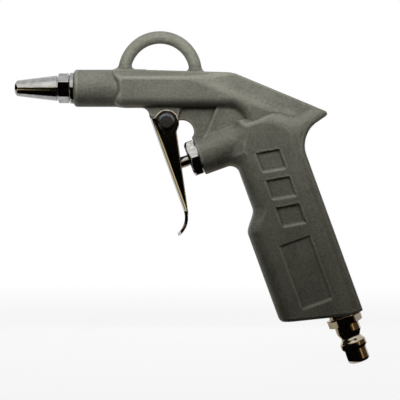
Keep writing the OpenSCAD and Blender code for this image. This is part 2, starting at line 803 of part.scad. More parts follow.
// The passage ends on the barrel's axis
passage_start = leaned([boss_back + cap_thread_l + cap_neck_l / 2, cap_bore_d / 2 - overrun - valve_drop]);
passage_l = -passage_start[1] / sin(passage_angle + lean);

module body() {
    color(casting_colour) difference() {
        union() {
            barrel();
            spine();
            hanging_loop();
            lug();
            web();
            along_valve() cylinder(d = boss_d, h = plug_back - boss_back - overrun);
            difference() {
                leaning() grip();
                tail_facets();
                sloped_sides([ridge_x, ridge_z], ridge_slope, bar_half, ridge_narrowing, bar_half);
                sloped_sides([cheek_x, cheek_z], cheek_slope, grip_half, cheek_narrowing, bar_half);
            }
            along_plug() translate([0, 0, -inlet_thread_l]) cylinder(d = inlet_boss_d, h = inlet_thread_l);
        }
        body_bores();
    }
}

module nozzle() {
    hex_start = nozzle_l - nozzle_hex_l;
    groove_start = hex_start - nozzle_groove_l;
    color(chrome_colour) along_barrel() difference() {
        union() {
            rotate_extrude() polygon([
                [0, 0], [tip_d / 2, 0], [mouth_d / 2 - mouth_l / 5, mouth_l * 0.6], [mouth_d / 2, mouth_l],
                [cone_d / 2, groove_start], [cone_d / 2 - nozzle_groove, groove_start],
                [cone_d / 2 - nozzle_groove, hex_start + nozzle_hex_l / 2],
                [0, hex_start + nozzle_hex_l / 2]
            ]);
            translate([0, 0, hex_start]) rotate([0, 0, 90 + nozzle_hex_turn])
                turned_hex(nozzle_hex_af, nozzle_hex_l, true, false);
        }
        translate([0, 0, -overrun]) cylinder(d = outlet_d, h = nozzle_l + overrun * 2);
        translate([0, 0, outlet_l])
            cylinder(d1 = outlet_d, d2 = adapter_bore_d, h = nozzle_l - nose_l - outlet_l);
        translate([0, 0, nozzle_l - nose_l - fit_gap * 4])
            cylinder(d = nose_d + fit_gap * 2, h = nose_l + overrun);
    }
}

module nozzle_washer() {
    color(rubber_colour) along_barrel() translate([0, 0, nozzle_l])
        ring(nozzle_hex_af, nose_d + fit_gap * 2, nozzle_washer_t);
}

module nozzle_adapter() {
    color(chrome_colour) along_barrel() difference() {
        union() {
            translate([0, 0, flange_x - nose_l]) cylinder(d = nose_d, h = nose_l);
            translate([0, 0, flange_x]) cylinder(d = flange_d, h = flange_t);
            translate([0, 0, front_x]) cylinder(d = shank_d, h = shank_l);
        }
        translate([0, 0, flange_x - nose_l - overrun])
            cylinder(d = adapter_bore_d, h = nose_l + flange_t + shank_l + overrun * 2);
    }
}

module adapter_seal() {
    color(rubber_colour) along_barrel() translate([0, 0, front_x + adapter_seal_t / 2])
        o_ring(shank_d, adapter_seal_t);
}

// Side outline of the trigger's straight part, with the ear round the pin
module trigger_side_outline() {
    circle(r = ear_r);
    polygon([
        [-trigger_front, trigger_top], [-trigger_top / 2, trigger_top], [0, 0],
        [side_reach, -side_reach_drop],
        [sheet_t - trigger_front, -curl_drop - sheet_t * 1.6],
        [sheet_t * 0.8 - trigger_front, -curl_drop - sheet_t * 1.6],
        [-trigger_front, -curl_drop]
    ]);
}

// Plan of a channel that is open to the rear, with round front corners
module channel_plan(front, half, r) {
    reach = ear_r * 2;
    translate([-front + r, -half]) square([front - r + reach, half * 2]);
    translate([-front, r - half]) square([front + reach, (half - r) * 2]);
    for (side = [-1, 1]) translate([-front + r, side * (half - r)]) circle(r = r);
}

module trigger() {
    height = trigger_top + curl_drop + ear_r * 2;
    color(chrome_colour) leaning() difference() {
        union() {
            intersection() {
                side_plate(trigger_half * 2) trigger_side_outline();
                translate([0, 0, -curl_drop - ear_r]) linear_extrude(height) difference() {
                    channel_plan(trigger_front, trigger_half, trigger_bend_r);
                    channel_plan(trigger_front - sheet_t, trigger_half - sheet_t, trigger_bend_r - sheet_t);
                }
            }
            // The curl at the lower end, with a round tip
            intersection() {
                translate([-trigger_front - curl_r, 0, -curl_drop]) rotate([90, 0, 0])
                    rotate_extrude(angle = curl_angle, start = -curl_angle, $fn = 96)
                        translate([curl_r, -trigger_half]) square([sheet_t, trigger_half * 2]);
                translate([-trigger_front, 0, -curl_drop - curl_r * 2]) {
                    cylinder(r = trigger_half, h = curl_r * 3);
                    translate([0, -trigger_half, 0]) cube([trigger_half, trigger_half * 2, curl_r * 3]);
                }
            }
        }
        rotate([90, 0, 0]) cylinder(d = pin_d + fit_gap, h = trigger_half * 3, center = true);
    }
}

module pivot_pin() {
    color(steel_colour) leaning() rotate([90, 0, 0]) {
        cylinder(d = pin_d, h = trigger_half * 2, center = true);
        for (side = [0, 1]) mirror([0, 0, side]) translate([0, 0, trigger_half]) {
            cylinder(d = pin_head_d, h = pin_head_h - pin_head_chamfer);
            translate([0, 0, pin_head_h - pin_head_chamfer])
                cylinder(d1 = pin_head_d, d2 = pin_head_d - pin_head_chamfer * 4, h = pin_head_chamfer);
        }
    }
}

module valve_cap() {
    hex_start = -cap_washer_t - cap_hex_l;
    color(chrome_colour) along_valve() difference() {
        union() {
            // One corner of the hexagon faces each side of the gun
            translate([0, 0, hex_start]) rotate([0, 0, 30]) turned_hex(cap_hex_af, cap_hex_l, true, false);
            translate([0, 0, hex_start + cap_hex_l / 2])
                cylinder(d = cap_thread_d, h = cap_hex_l / 2 + cap_washer_t + cap_thread_l);
            cylinder(d = cap_neck_d, h = cap_neck_depth + overrun / 2);
            translate([0, 0, cap_neck_depth]) difference() {
                cylinder(d = cap_land_d, h = cap_land_l);
                translate([0, 0, cap_land_l / 2 - gallery_seal_t / 2 - fit_gap])
                    ring(cap_land_d + overrun, gallery_root_d, gallery_seal_t + fit_gap * 2);
            }
            cylinder(d = seat_d, h = seat_depth);
        }
        translate([0, 0, hex_start - overrun])
            cylinder(d = stem_d + fit_gap * 2, h = cap_hex_l + cap_thread_l);
        translate([0, 0, gland_depth]) cylinder(d = air_d, h = seat_depth);
        for (i = [0 : cross_count - 1]) translate([0, 0, cap_thread_l + cap_neck_l / 2])
            rotate([0, 90, i * 360 / cross_count]) cylinder(d = cross_d, h = cap_land_d);
    }
}
gallery_root_d = cap_land_d - (gallery_seal_t + fit_gap) * 2;

module valve_cap_washer() {
    color(steel_colour) along_valve() translate([0, 0, -cap_washer_t])
        ring(cap_washer_d, cap_thread_d + fit_gap * 2, cap_washer_t);
}

module gallery_seal() {
    color(rubber_colour) along_valve() translate([0, 0, cap_neck_depth + cap_land_l / 2])
        o_ring(gallery_root_d, gallery_seal_t);
}

module stem_seal() {
    color(rubber_colour) along_valve() translate([0, 0, gland_depth + fit_gap + stem_seal_t / 2])
        o_ring(stem_d, stem_seal_t);
}

module gland_bush() {
    color(brass_colour) along_valve() translate([0, 0, bush_depth])
        ring(air_d - fit_gap, stem_d + fit_gap * 2, bush_l);
}

module valve_stem() {
    stem_r = stem_d / 2;
    color(steel_colour) along_valve() rotate_extrude() polygon(concat(
        [[0, stem_tip]],
        [for (a = [30 : 15 : 75]) [stem_r * sin(a), stem_tip + stem_r * (1 - cos(a)) / 2]],
        [
            [stem_r, stem_tip + stem_r * 0.6], [stem_r, waist_depth],
            [stem_waist_d / 2, waist_depth + (stem_d - stem_waist_d) / 2],
            [stem_waist_d / 2, seat_depth], [stem_thread_d / 2, seat_depth],
            [stem_thread_d / 2, spring_start + nut_l * 1.3], [0, spring_start + nut_l * 1.3]
        ]
    ));
}

module poppet_seal() {
    color(rubber_colour) along_valve() translate([0, 0, seat_depth])
        ring(poppet_seal_d, stem_thread_d + fit_gap * 2, poppet_seal_t);
}

module poppet() {
    color(brass_colour) along_valve() difference() {
        translate([0, 0, poppet_depth - cup_depth]) cylinder(d = poppet_d, h = cup_depth + poppet_t);
        translate([0, 0, poppet_depth - cup_depth - overrun])
            cylinder(d = poppet_seal_d + fit_gap * 2, h = cup_depth + overrun);
        translate([0, 0, poppet_depth - overrun])
            cylinder(d = stem_thread_d + fit_gap * 2, h = poppet_t + overrun * 2);
    }
}

module poppet_nut() {
    color(steel_colour) along_valve() translate([0, 0, spring_start]) difference() {
        turned_hex(nut_af, nut_l);
        translate([0, 0, -overrun]) cylinder(d = stem_thread_d + fit_gap * 2, h = nut_l + overrun * 2);
    }
}

// The spring is one tube along a helix, closed up at both ends
spring_steps = 8;
spring_sides = 6;
spring_rings = spring_turns * spring_steps;
spring_close_share = 1 / 12;
function spring_z(t) = wire_d / 2 + fit_gap
    + (spring_l - wire_d - fit_gap * 2) * (t - sin(360 * t) * spring_close_share);
spring_path = [
    for (i = [0 : spring_rings]) let (a = 360 * i / spring_steps)
        [spring_d / 2 * cos(a), spring_d / 2 * sin(a), spring_z(i / spring_rings)]
];
// Least distance between the wire and itself one turn on
spring_least_gap = min([
    for (i = [0 : spring_rings - spring_steps])
        norm(spring_path[i + spring_steps] - spring_path[i]) - wire_d
]);
echo(spring_least_gap = spring_least_gap);

module valve_spring() {
    tube = [
        for (i = [0 : spring_rings]) let (a = 360 * i / spring_steps) for (j = [0 : spring_sides - 1])
            let (b = 360 * j / spring_sides, out = spring_d / 2 + wire_d / 2 * cos(b))
                [out * cos(a), out * sin(a), spring_path[i][2] + wire_d / 2 * sin(b)]
    ];
    n = spring_sides;
    last = spring_rings * n;
    color(steel_colour) along_valve() translate([0, 0, spring_start]) polyhedron(
        points = tube,
        faces = concat(
            [for (j = [1 : n - 2]) [0, j, j + 1]],
            [for (j = [1 : n - 2]) [last, last + j + 1, last + j]],
            [for (i = [0 : spring_rings - 1]) for (j = [0 : n - 1])
                [i * n + j, (i + 1) * n + j, (i + 1) * n + (j + 1) % n]],
            [for (i = [0 : spring_rings - 1]) for (j = [0 : n - 1])
                [i * n + j, (i + 1) * n + (j + 1) % n, i * n + (j + 1) % n]]
        )
    );
}

module inlet_plug() {
    neck_start = inlet_washer_t + plug_hex_l;
    groove_in = neck_start + plug_neck_l;
    groove = groove_in + plug_groove_in_l;
    groove_out = groove + plug_groove_l;
    collar = groove_out + plug_groove_out_l;
    tip = collar + collar_l;
    end = tip + plug_tip_l;
    color(steel_colour) along_plug() difference() {
        union() {
            translate([0, 0, -inlet_thread_l])
                cylinder(d = inlet_thread_d, h = inlet_thread_l + inlet_washer_t);
            translate([0, 0, inlet_washer_t]) turned_hex(plug_hex_af, plug_hex_l, false, true);
            rotate_extrude() polygon([
                [0, inlet_washer_t], [plug_neck_d / 2, inlet_washer_t], [plug_neck_d / 2, groove_in],
                [plug_groove_d / 2, groove], [plug_groove_d / 2, groove_out],
                [collar_d / 2, collar], [collar_d / 2, tip - collar_chamfer], [plug_tip_d / 2, tip],
                [plug_tip_d / 2, end - plug_tip_chamfer], [plug_tip_d / 2 - plug_tip_chamfer, end], [0, end]
            ]);
        }
        translate([0, 0, -inlet_thread_l - overrun])
            cylinder(d = plug_bore_d, h = inlet_thread_l + end + overrun * 2);
    }
}

module inlet_washer() {
    color(rubber_colour) along_plug() ring(inlet_washer_d, inlet_thread_d + fit_gap * 2, inlet_washer_t);
}

body();
nozzle();
nozzle_washer();
nozzle_adapter();
adapter_seal();
trigger();
pivot_pin();
valve_cap();
valve_cap_washer();
gallery_seal();
gland_bush();
stem_seal();
valve_stem();
poppet();
poppet_seal();
poppet_nut();
valve_spring();
inlet_plug();
inlet_washer();
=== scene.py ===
# %% [markdown]
# # A pneumatic air duster, drawn with formulas
# A pistol-shaped gun that blows compressed air: a cast body, a chromed nozzle, a trigger, a
# cartridge valve and a plug for the hose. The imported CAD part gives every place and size, and
# this lesson gives the part its looks. Lengths are in millimetres until a mesh is made, and
# metres after that.

import math

import bpy
import numpy as np
from mathutils import Matrix


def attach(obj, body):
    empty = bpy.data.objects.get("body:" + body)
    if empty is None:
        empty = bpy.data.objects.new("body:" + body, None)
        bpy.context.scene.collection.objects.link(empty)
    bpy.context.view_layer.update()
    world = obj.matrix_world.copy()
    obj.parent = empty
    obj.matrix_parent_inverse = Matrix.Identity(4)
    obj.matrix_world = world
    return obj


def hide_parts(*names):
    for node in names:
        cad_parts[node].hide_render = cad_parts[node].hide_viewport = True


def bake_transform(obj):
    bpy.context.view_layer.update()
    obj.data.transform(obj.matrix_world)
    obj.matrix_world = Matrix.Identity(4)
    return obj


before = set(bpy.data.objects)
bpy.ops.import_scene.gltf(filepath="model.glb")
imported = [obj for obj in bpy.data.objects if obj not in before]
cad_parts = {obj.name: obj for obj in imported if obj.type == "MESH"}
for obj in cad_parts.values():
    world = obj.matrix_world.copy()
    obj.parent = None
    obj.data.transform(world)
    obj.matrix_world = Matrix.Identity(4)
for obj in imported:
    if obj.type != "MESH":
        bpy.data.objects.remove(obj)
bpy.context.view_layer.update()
MM = 0.001

# %% [markdown]
# ## One small class for materials
# Real surfaces are never one flat colour. Their variation can be painted as an image or worked
# out from noise. Noise is used here, since it has no seams and no pixels. A `Socket` wraps a
# node's output, so that noise and numbers are put together like any other formula.


# %% The class that wraps sockets
class Socket:
    """A value in a material's node tree. The operators add Math nodes."""

    def __init__(self, tree, value):
        self.tree, self.value = tree, value

    def node(self, kind, inputs=(), output=0, **options):
        """Any other node: its type, what goes into its sockets, its used output and its options."""
        made = self.tree.nodes.new(kind)
        for name, setting in options.items():
            setattr(made, name, setting)
        for name, given in dict(inputs).items():
            if isinstance(given, Socket):
                given = given.value
            if isinstance(given, bpy.types.NodeSocket):
                self.tree.links.new(given, made.inputs[name])
            else:
                made.inputs[name].default_value = given
        return Socket(self.tree, made.outputs[output])

    def _math(self, operation, first, second):
        return self.node("ShaderNodeMath", {0: first, 1: second}, operation=operation)

    def __add__(self, other):
        return self._math("ADD", self, other)

    def __mul__(self, other):
        return self._math("MULTIPLY", self, other)

    def __sub__(self, other):
        return self._math("SUBTRACT", self, other)

    def __rsub__(self, other):
        return self._math("SUBTRACT", other, self)

    def __neg__(self):
        return self * -1.0

    __radd__, __rmul__ = __add__, __mul__

    def larger(self, other):
        """The larger of two values."""
        return self._math("MAXIMUM", self, other)

    def step(self, start, end):
        """0 below start, 1 above end and an eased rise between them."""
        return self.node(
            "ShaderNodeMapRange",
            {"Value": self, "From Min": start, "From Max": end},
            interpolation_type="SMOOTHSTEP",
        )

    def between(self, low, high):
        """A value from 0 to 1 spread over low to high."""
        return self * (high - low) + low

    def mix(self, dark, light):
        """A colour between two, given as linear red, green and blue."""
        return self.node(
            "ShaderNodeMix",
            {0: self, 6: (*dark, 1.0), 7: (*light, 1.0)},
            output=2,
            data_type="RGBA",
        )


class Material:
    """A Principled material whose varying sockets are given as formulas."""

    def __init__(self, name, **constants):
        self.made = bpy.data.materials.new(name)
        self.made.use_nodes = True
        self.tree = self.made.node_tree
        self.shader = self.tree.nodes["Principled BSDF"]
        self.start = Socket(self.tree, None)
        self.place = self.start.node("ShaderNodeTexCoord", output="Object")
        for socket, value in constants.items():
            self.set(socket.replace("_", " "), value)

    def set(self, socket, value):
        """Gives a socket of the shader a formula or a plain value."""
        if isinstance(value, Socket):
            self.tree.links.new(value.value, self.shader.inputs[socket])
        else:
            self.shader.inputs[socket].default_value = value

    def noise(self, per_mm, detail=2.0, roughness=0.5, stretch=(1, 1, 1)):
        """Noise with so many waves a millimetre, from 0 to 1."""
        place = self.start.node(
            "ShaderNodeVectorMath", {0: self.place, 1: stretch}, operation="MULTIPLY"
        )
        return self.start.node(
            "ShaderNodeTexNoise",
            {"Vector": place, "Scale": per_mm / MM, "Detail": detail, "Roughness": roughness},
            output="Fac",
        )

    def bump(self, height, depth_mm, strength):
        """Bumps of that depth in millimetres."""
        given = {"Height": height, "Distance": depth_mm * MM, "Strength": strength}
        return self.start.node("ShaderNodeBump", given)


print("The socket class is ready")

# %% [markdown]
# ## The casting's finish
# The body is aluminium, blasted with grit and sealed with a grey coat. The blasting leaves a
# fine grain. The outer edges are painted lighter, partly as wear where hands rub them and partly
# as a painted highlight, and the corners are painted darker, as dust and painted shade. The grain
# is a noise of about one wave a millimetre. The attribute `edge`, which the casting's mesh gets
# below, says where the surface bends outwards or inwards, and it also carries a painted highlight
# along the tail's crease.

# %% The casting's finish
casting = Material("blasted_casting", IOR=1.5, Specular_IOR_Level=0.3)
grain = casting.noise(0.85, 4.0, 0.7)
cloud = casting.noise(0.09, 3.0, 0.55)
edge = casting.start.node("ShaderNodeAttribute", output="Fac", attribute_name="edge")
# Lighter outer edges: partly wear, partly a painted highlight, which on the tail's crease comes
# from the attribute
wear_and_highlight = (edge + grain * 0.03 - 0.015).step(0.02, 0.08)
# Darker corners and hollows: painted shade, with some dust
sunk = (-edge).step(0.02, 0.12)
mottled = (cloud * 0.35 + grain * 0.65).step(0.33, 0.67)
tone = mottled * 0.44 + wear_and_highlight * 0.42 - sunk * 0.25
casting.set("Base Color", tone.mix((0.127, 0.127, 0.103), (0.3, 0.3, 0.25)))
casting.set("Metallic", grain.between(0.16, 0.3))
casting.set("Roughness", grain.between(0.4, 0.52))
casting.set("Normal", casting.bump(grain, 0.28, 0.9))
print("The casting's nodes:", len(casting.tree.nodes))

# %% [markdown]
# ## The other finishes
# The fittings are chromed, the plug has a warmer plating, the trigger is plated sheet steel and
# the rivet is dark. All of them vary in the same way, in colour and in roughness with one noise,
# so one function makes them. Chrome and sheet get a low wave as well, because no plated surface
# is quite flat, and its mirror images show that.


# %% The other finishes
def varied(name, noise, colours, roughness, metallic=1.0, contrast=None):
    """A finish whose colour and roughness follow one noise.

    Where contrast gives the two ends of an eased step, the colour follows that step."""
    made = Material(name, Metallic=metallic)
    haze = made.noise(*noise)
    made.set("Base Color", (haze.step(*contrast) if contrast else haze).mix(*colours))
    made.set("Roughness", haze.between(*roughness))
    return made


CLEAR = (0.3, 0.7)
chrome = varied(
    "bright_chrome", (0.9, 4.0, 0.65, (0.35, 1, 1)),
    ((0.27, 0.262, 0.262), (0.44, 0.44, 0.435)), (0.06, 0.16), contrast=CLEAR,
)
chrome.set("Normal", chrome.bump(chrome.noise(0.25), 0.006, 0.5))
bronze = varied(
    "plug_plating", (0.5, 3.0, 0.6),
    ((0.36, 0.31, 0.24), (0.46, 0.4, 0.32)), (0.08, 0.16), contrast=CLEAR,
)
plate = varied(
    "trigger_plating", (1.2, 3.0, 0.6, (1, 1, 0.15)),
    ((0.5, 0.5, 0.5), (0.56, 0.56, 0.55)), (0.04, 0.08), contrast=CLEAR,
)
plate.set("Normal", plate.bump(plate.noise(0.12), 0.004, 0.6))
dark_steel = varied(
    "rivet_steel", (1.0, 3.0),
    ((0.06, 0.066, 0.078), (0.1, 0.11, 0.13)), (0.22, 0.34), contrast=CLEAR,
)
spring_steel = varied(
    "drawn_steel", (2.0, 3.0), ((0.42, 0.42, 0.42), (0.5, 0.5, 0.5)), (0.2, 0.3)
)
brass = varied("turned_brass", (1.5, 3.0), ((0.62, 0.43, 0.16), (0.72, 0.52, 0.22)), (0.18, 0.3))
rubber = varied(
    "black_rubber", (1.4, 3.0), ((0.012, 0.012, 0.012), (0.03, 0.03, 0.03)), (0.5, 0.7),
    metallic=0.0,
)
print("Materials:", sorted(m.name for m in bpy.data.materials))

# %% [markdown]
# ## Meshes from arrays
# A surface could be modelled by hand, point by point. Here it is an array of points that a
# formula gives, and one function puts the arrays into a mesh.


# %% Arrays into a mesh
def length(*parts):
    """The length of a vector whose parts are given."""
    return np.sqrt(sum(np.square(p) for p in parts))


def unit(rows):
    """The same directions with a length of 1."""
    return rows / np.maximum(length(*rows.T), 1e-12)[:, None]


def make_mesh(name, points, faces, material, normals=None):
    """A mesh object from arrays: points in millimetres, and faces as rows of indices."""
    points, faces = np.asarray(points, float), np.asarray(faces, np.int64)
    size = faces.shape[1]
    mesh = bpy.data.meshes.new(name)
    mesh.vertices.add(len(points))
    mesh.vertices.foreach_set("co", (points * MM).ravel())
    mesh.loops.add(faces.size)
    mesh.loops.foreach_set("vertex_index", faces.ravel())
    mesh.polygons.add(len(faces))
    mesh.polygons.foreach_set("loop_start", np.arange(len(faces)) * size)
    mesh.polygons.foreach_set("use_smooth", np.ones(len(faces), bool))
    mesh.update(calc_edges=True)
    mesh.validate()
    if normals is not None:
        mesh.normals_split_custom_set_from_vertices(normals.tolist())
    made = bpy.data.objects.new(name, mesh)
    bpy.context.collection.objects.link(made)
    mesh.materials.append(material.made)
    return made


def placed(piece, node, body):
    """Puts a piece in the place of a CAD node and on a moving body."""
    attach(piece, body)
    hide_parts(node)
    mesh = piece.data
    print(piece.name, "for", node, len(mesh.vertices), "points", len(mesh.polygons), "faces")


print("The mesh maker is ready")

# %% [markdown]
# ## Solids as fields
# A casting's walls run into each other in fillets. Modelling tools can bevel them edge by edge.
# A field does it in one formula: it is the distance to the surface, below zero inside, and two
# solids are joined, or cut, with a rounding whose radius is part of the formula.


# %% Joins and cuts of fields
def both(a, b, r):
    """What lies in a and in b, with the edge between them rounded to radius r.

    Inside both by more than r, the larger field counts. Nearer than that, the field is
    the distance from an arc of radius r that touches both."""
    return np.minimum(-r, np.maximum(a, b)) + length(np.maximum(r + a, 0), np.maximum(r + b, 0))


def either(a, b, r):
    """What lies in a or in b, with a fillet of radius r where they meet."""
    return np.maximum(r, np.minimum(a, b)) - length(np.maximum(r - a, 0), np.maximum(r - b, 0))


def without(a, b, r):
    """What lies in a and not in b, with the edge rounded to radius r."""
    return both(a, -b, r)


def eased(t):
    """A share that rises from 0 to 1 without corners: t t (3 - 2 t), with t held in 0 to 1."""
    t = np.clip(t, 0, 1)
    return t * t * (3 - 2 * t)


def half_plane(x, z, point, degrees):
    """Distance above a line through a point that rises at an angle."""
    a = math.radians(degrees)
    return (z - point[1]) * math.cos(a) - (x - point[0]) * math.sin(a)


def sloped(wide, half, slope, off):
    """A side wall that leans in: (wide - half + slope off) / the root of (1 + slope squared)."""
    return (wide - half + slope * off) / np.sqrt(1 + slope * slope)


print("A sharp corner lies", round(float(both(0, 0, 1)), 3), "mm outside its 1 mm rounding")

# %% [markdown]
# ## From a field to a mesh
# The field is worked out on a grid of small cells. A cell whose corners lie on both sides of
# the surface gets one point. The middle of the cell's crossed edges would do, but it rounds
# every edge off, so the point goes nearest to the planes through the crossings.


# %% The surface of a field
def steepest(field, points, reach):
    """The directions in which a field rises fastest: its differences over twice the reach."""
    rise = [
        field(*(points + reach * axis).T) - field(*(points - reach * axis).T) for axis in np.eye(3)
    ]
    return unit(np.stack(rise, 1))


def crossed_edges(axes, value, step):
    """Where the field changes sign along the grid's edges, and the four cells round each.

    Between the values a and b, the crossing is a share a / (a - b) of the edge along."""
    inside = value < 0
    cells = tuple(n - 1 for n in inside.shape)
    crossings, owners = [], []
    for d in range(3):
        lower, upper = [slice(None)] * 3, [slice(None)] * 3
        lower[d], upper[d] = slice(0, -1), slice(1, None)
        at = np.stack(np.nonzero(inside[tuple(lower)] != inside[tuple(upper)]), 1)
        next_at = at.copy()
        next_at[:, d] += 1
        a, b = value[tuple(at.T)], value[tuple(next_at.T)]
        place = np.stack([axes[n][at[:, n]] for n in range(3)], 1)
        place[:, d] += step * a / (a - b)
        crossings.append(place)
        u, v = (d + 1) % 3, (d + 2) % 3
        around = []
        for du, dv in ((-1, -1), (0, -1), (0, 0), (-1, 0)):
            cell = at.copy()
            cell[:, u] += du
            cell[:, v] += dv
            around.append(np.ravel_multi_index(cell.T, cells))
        quad = np.stack(around, 1)
        quad[a >= 0] = quad[a >= 0][:, ::-1]
        owners.append(quad)
    return np.concatenate(crossings), np.concatenate(owners), cells


def contour(field, low, high, step):
    """The surface where a field is zero, as (points, faces, normals).

    Each point is the least squares solution for the planes through its cell's crossings, held
    to their middle by a small weight. Each crossed edge gives a face through four cells."""
    reach, hold = step * 0.02, 0.05
    axes = [np.arange(a, b + step, step) for a, b in zip(low, high)]
    value = field(*np.meshgrid(*axes, indexing="ij", sparse=True))
    place, owner, cells = crossed_edges(axes, value, step)
    slope = np.repeat(steepest(field, place, reach), 4, 0)
    place = np.repeat(place, 4, 0)
    used, index = np.unique(owner.ravel(), return_inverse=True)
    index = index.reshape(-1)
    count = np.bincount(index)

    def gathered(column):
        return np.bincount(index, column)

    middle = np.stack([gathered(place[:, c]) for c in range(3)], 1) / count[:, None]
    off = np.sum(slope * (place - middle[index]), 1)
    matrix = np.empty((len(used), 3, 3))
    for r in range(3):
        for c in range(3):
            matrix[:, r, c] = gathered(slope[:, r] * slope[:, c])
    matrix += np.eye(3) * hold
    right = np.stack([gathered(slope[:, c] * off) for c in range(3)], 1)
    point = middle + np.linalg.solve(matrix, right[:, :, None])[:, :, 0]
    corner = np.stack(np.unravel_index(used, cells), 1) * step + np.array(low)
    point = np.clip(point, corner, corner + step)
    return point, index.reshape(-1, 4), steepest(field, point, reach)


print("The contour maker is ready")

# %% [markdown]
# ## Turned solids
# Nozzle, cap, stem, rivet and plug come from a lathe, so each is a profile carried round an
# axis. A hexagon is milled from a turned bar, so it is the same grid with its radius held inside
# six flats, and the flats meet the turned chamfer in true arcs.


# %% Profiles and hexagons
def softened(loop):
    """A closed profile of (along, radius, softness) corners, with each corner eased by a curve.

    The curve runs from A to B past the corner C: (1-t)(1-t) A + 2t(1-t) C + t t B."""
    made = []
    corners = [np.array(c[:2], float) for c in loop]
    for i, (c, (_, _, softness)) in enumerate(zip(corners, loop)):
        if not softness:
            made.append(c)
            continue
        ends = []
        for other in (corners[i - 1], corners[(i + 1) % len(loop)]):
            size = math.hypot(*(other - c))
            ends.append(c + (other - c) * min(softness, size * 0.45) / size)
        for t in (0, 0.25, 0.5, 0.75, 1):
            made.append((1 - t) ** 2 * ends[0] + 2 * t * (1 - t) * c + t * t * ends[1])
    return np.array(made)


def hexagon(angle, across, first_corner):
    """The radius of a hexagon whose corners are slightly round.

    Each flat gives across / 2 = r cos(angle to the flat). The six are joined by a high power n,
    r = across / 2 * (sum of cos**n) ** (-1 / n), which rounds the corners a little."""
    power = 70
    flats = math.radians(first_corner + 30) + np.arange(6) * math.pi / 3
    turn = np.maximum(np.cos(np.asarray(angle)[..., None] - flats), 0)
    return across / 2 * np.sum(turn ** power, -1) ** (-1 / power)


def stations(loop, hexes):
    """The softened profile, with 8 steps on a chamfer that a hexagon's flats cut."""
    profile = softened(loop)
    rows = []
    for p, q in zip(profile, np.roll(profile, -1, 0)):
        leans = p[0] != q[0] and p[1] != q[1] and math.hypot(*(q - p)) > 0.3
        start, inner = min(p[0], q[0]), min(p[1], q[1])
        milled = any(h[0] - 0.01 <= start <= h[1] and inner > h[2] * 0.4 for h in hexes)
        parts = 8 if leans and milled else 1
        rows += [p + (q - p) * k / parts for k in range(parts)]
    return np.array(rows)


def weighted_normals(points, faces):
    """Normals that follow the larger faces: the sum of the cross products round each point."""
    a, b, c = (points[faces[:, i]] for i in range(3))
    cross = np.cross(b - a, c - a)
    total = np.zeros_like(points)
    for i in range(3):
        np.add.at(total, faces[:, i], cross)
    return unit(total)


print("A 12 mm hexagon is", round(2 * float(hexagon(0, 12, 0)), 2), "mm over its corners")


# %% A profile round an axis
def turned(name, axis, loop, material, hexes=(), sectors=180):
    """A closed solid: a profile of (along, radius) carried round an axis and held inside hexagons.

    Point(s, angle) = start + a(s) along + r(s, angle) (cos(angle) u + sin(angle) v). Between
    the stations of a hexagon r is the lesser of the profile and the hexagon's radius. Points
    that fall together, as at a pole, are merged."""
    start, w = (np.array(part, float) for part in axis)
    v = np.array((0, 1, 0) if abs(w[1]) < 0.5 else (0, 0, 1), float)
    u = np.cross(v, w)
    rows = stations(loop, hexes)
    angle = np.arange(sectors) * 2 * math.pi / sectors
    radius = np.repeat(rows[:, 1:], sectors, 1)
    for low, high, across, first_corner in hexes:
        held = (rows[:, 0] >= low - 1e-6) & (rows[:, 0] <= high + 1e-6)
        radius[held] = np.minimum(radius[held], hexagon(angle, across, first_corner))
    outwards = np.cos(angle)[:, None] * u + np.sin(angle)[:, None] * v
    points = start + rows[:, :1, None] * w + radius[:, :, None] * outwards
    a = np.arange(len(rows) * sectors).reshape(len(rows), sectors)
    b = np.roll(a, -1, 0)
    c, d = np.roll(b, -1, 1), np.roll(a, -1, 1)
    faces = np.concatenate([np.stack(t, -1).reshape(-1, 3) for t in ((a, b, c), (a, c, d))])
    whole, back = np.unique(np.round(points.reshape(-1, 3), 5), axis=0, return_inverse=True)
    faces = back.reshape(-1)[faces]
    i, j, k = faces.T
    faces = faces[(i != j) & (j != k) & (k != i)]
    p, q, r = (whole[faces[:, i]] for i in range(3))
    if np.sum(p * np.cross(q, r)) < 0:
        faces = faces[:, ::-1]
    return make_mesh(name, whole, faces, material, weighted_normals(whole, faces))


print("The lathe is ready")

# %% [markdown]
# ## The frames of the gun
# The nozzle's axis is the x axis. The grip, the valve and the trigger lean by 20 degrees about
# the trigger's pin, so they are described in a frame that leans with them.

# %% The leaning frame
LEAN = math.radians(20)
PIVOT = (69.8, -15.7)
BOSS_AXIS, BOSS_FACE, PLUG_AXIS, INLET = -19.7, 8.8, 45.9, -111.4
ARM_FRONT, SHEET = 6.6, 1.5


def leaning(x, z):
    """A point of the side view in the leaning frame."""
    dx, dz = x - PIVOT[0], z - PIVOT[1]
    return dx * math.cos(LEAN) + dz * math.sin(LEAN), dz * math.cos(LEAN) - dx * math.sin(LEAN)


def turned_back(lx, lz):
    """A direction of the leaning frame in the side view."""
    return lx * math.cos(LEAN) - lz * math.sin(LEAN), lx * math.sin(LEAN) + lz * math.cos(LEAN)


def standing(lx, lz):
    """A point of the leaning frame in the side view."""
    dx, dz = turned_back(lx, lz)
    return PIVOT[0] + dx, PIVOT[1] + dz


def in_space(lx, lz):
    """A point of the leaning frame's middle plane in space."""
    x, z = standing(lx, lz)
    return x, 0, z


BOSS_POINT, INLET_POINT = in_space(BOSS_FACE, BOSS_AXIS), in_space(PLUG_AXIS, INLET)
BARREL_LINE = (0, 0, 0), (1, 0, 0)
VALVE_LINE = BOSS_POINT, (math.cos(LEAN), 0, math.sin(LEAN))
PLUG_LINE = INLET_POINT, (math.sin(LEAN), 0, -math.cos(LEAN))
PIN_LINE = (PIVOT[0], 0, PIVOT[1]), (0, 1, 0)
print("Boss face at", np.round(BOSS_POINT, 2), "and inlet at", np.round(INLET_POINT, 2))

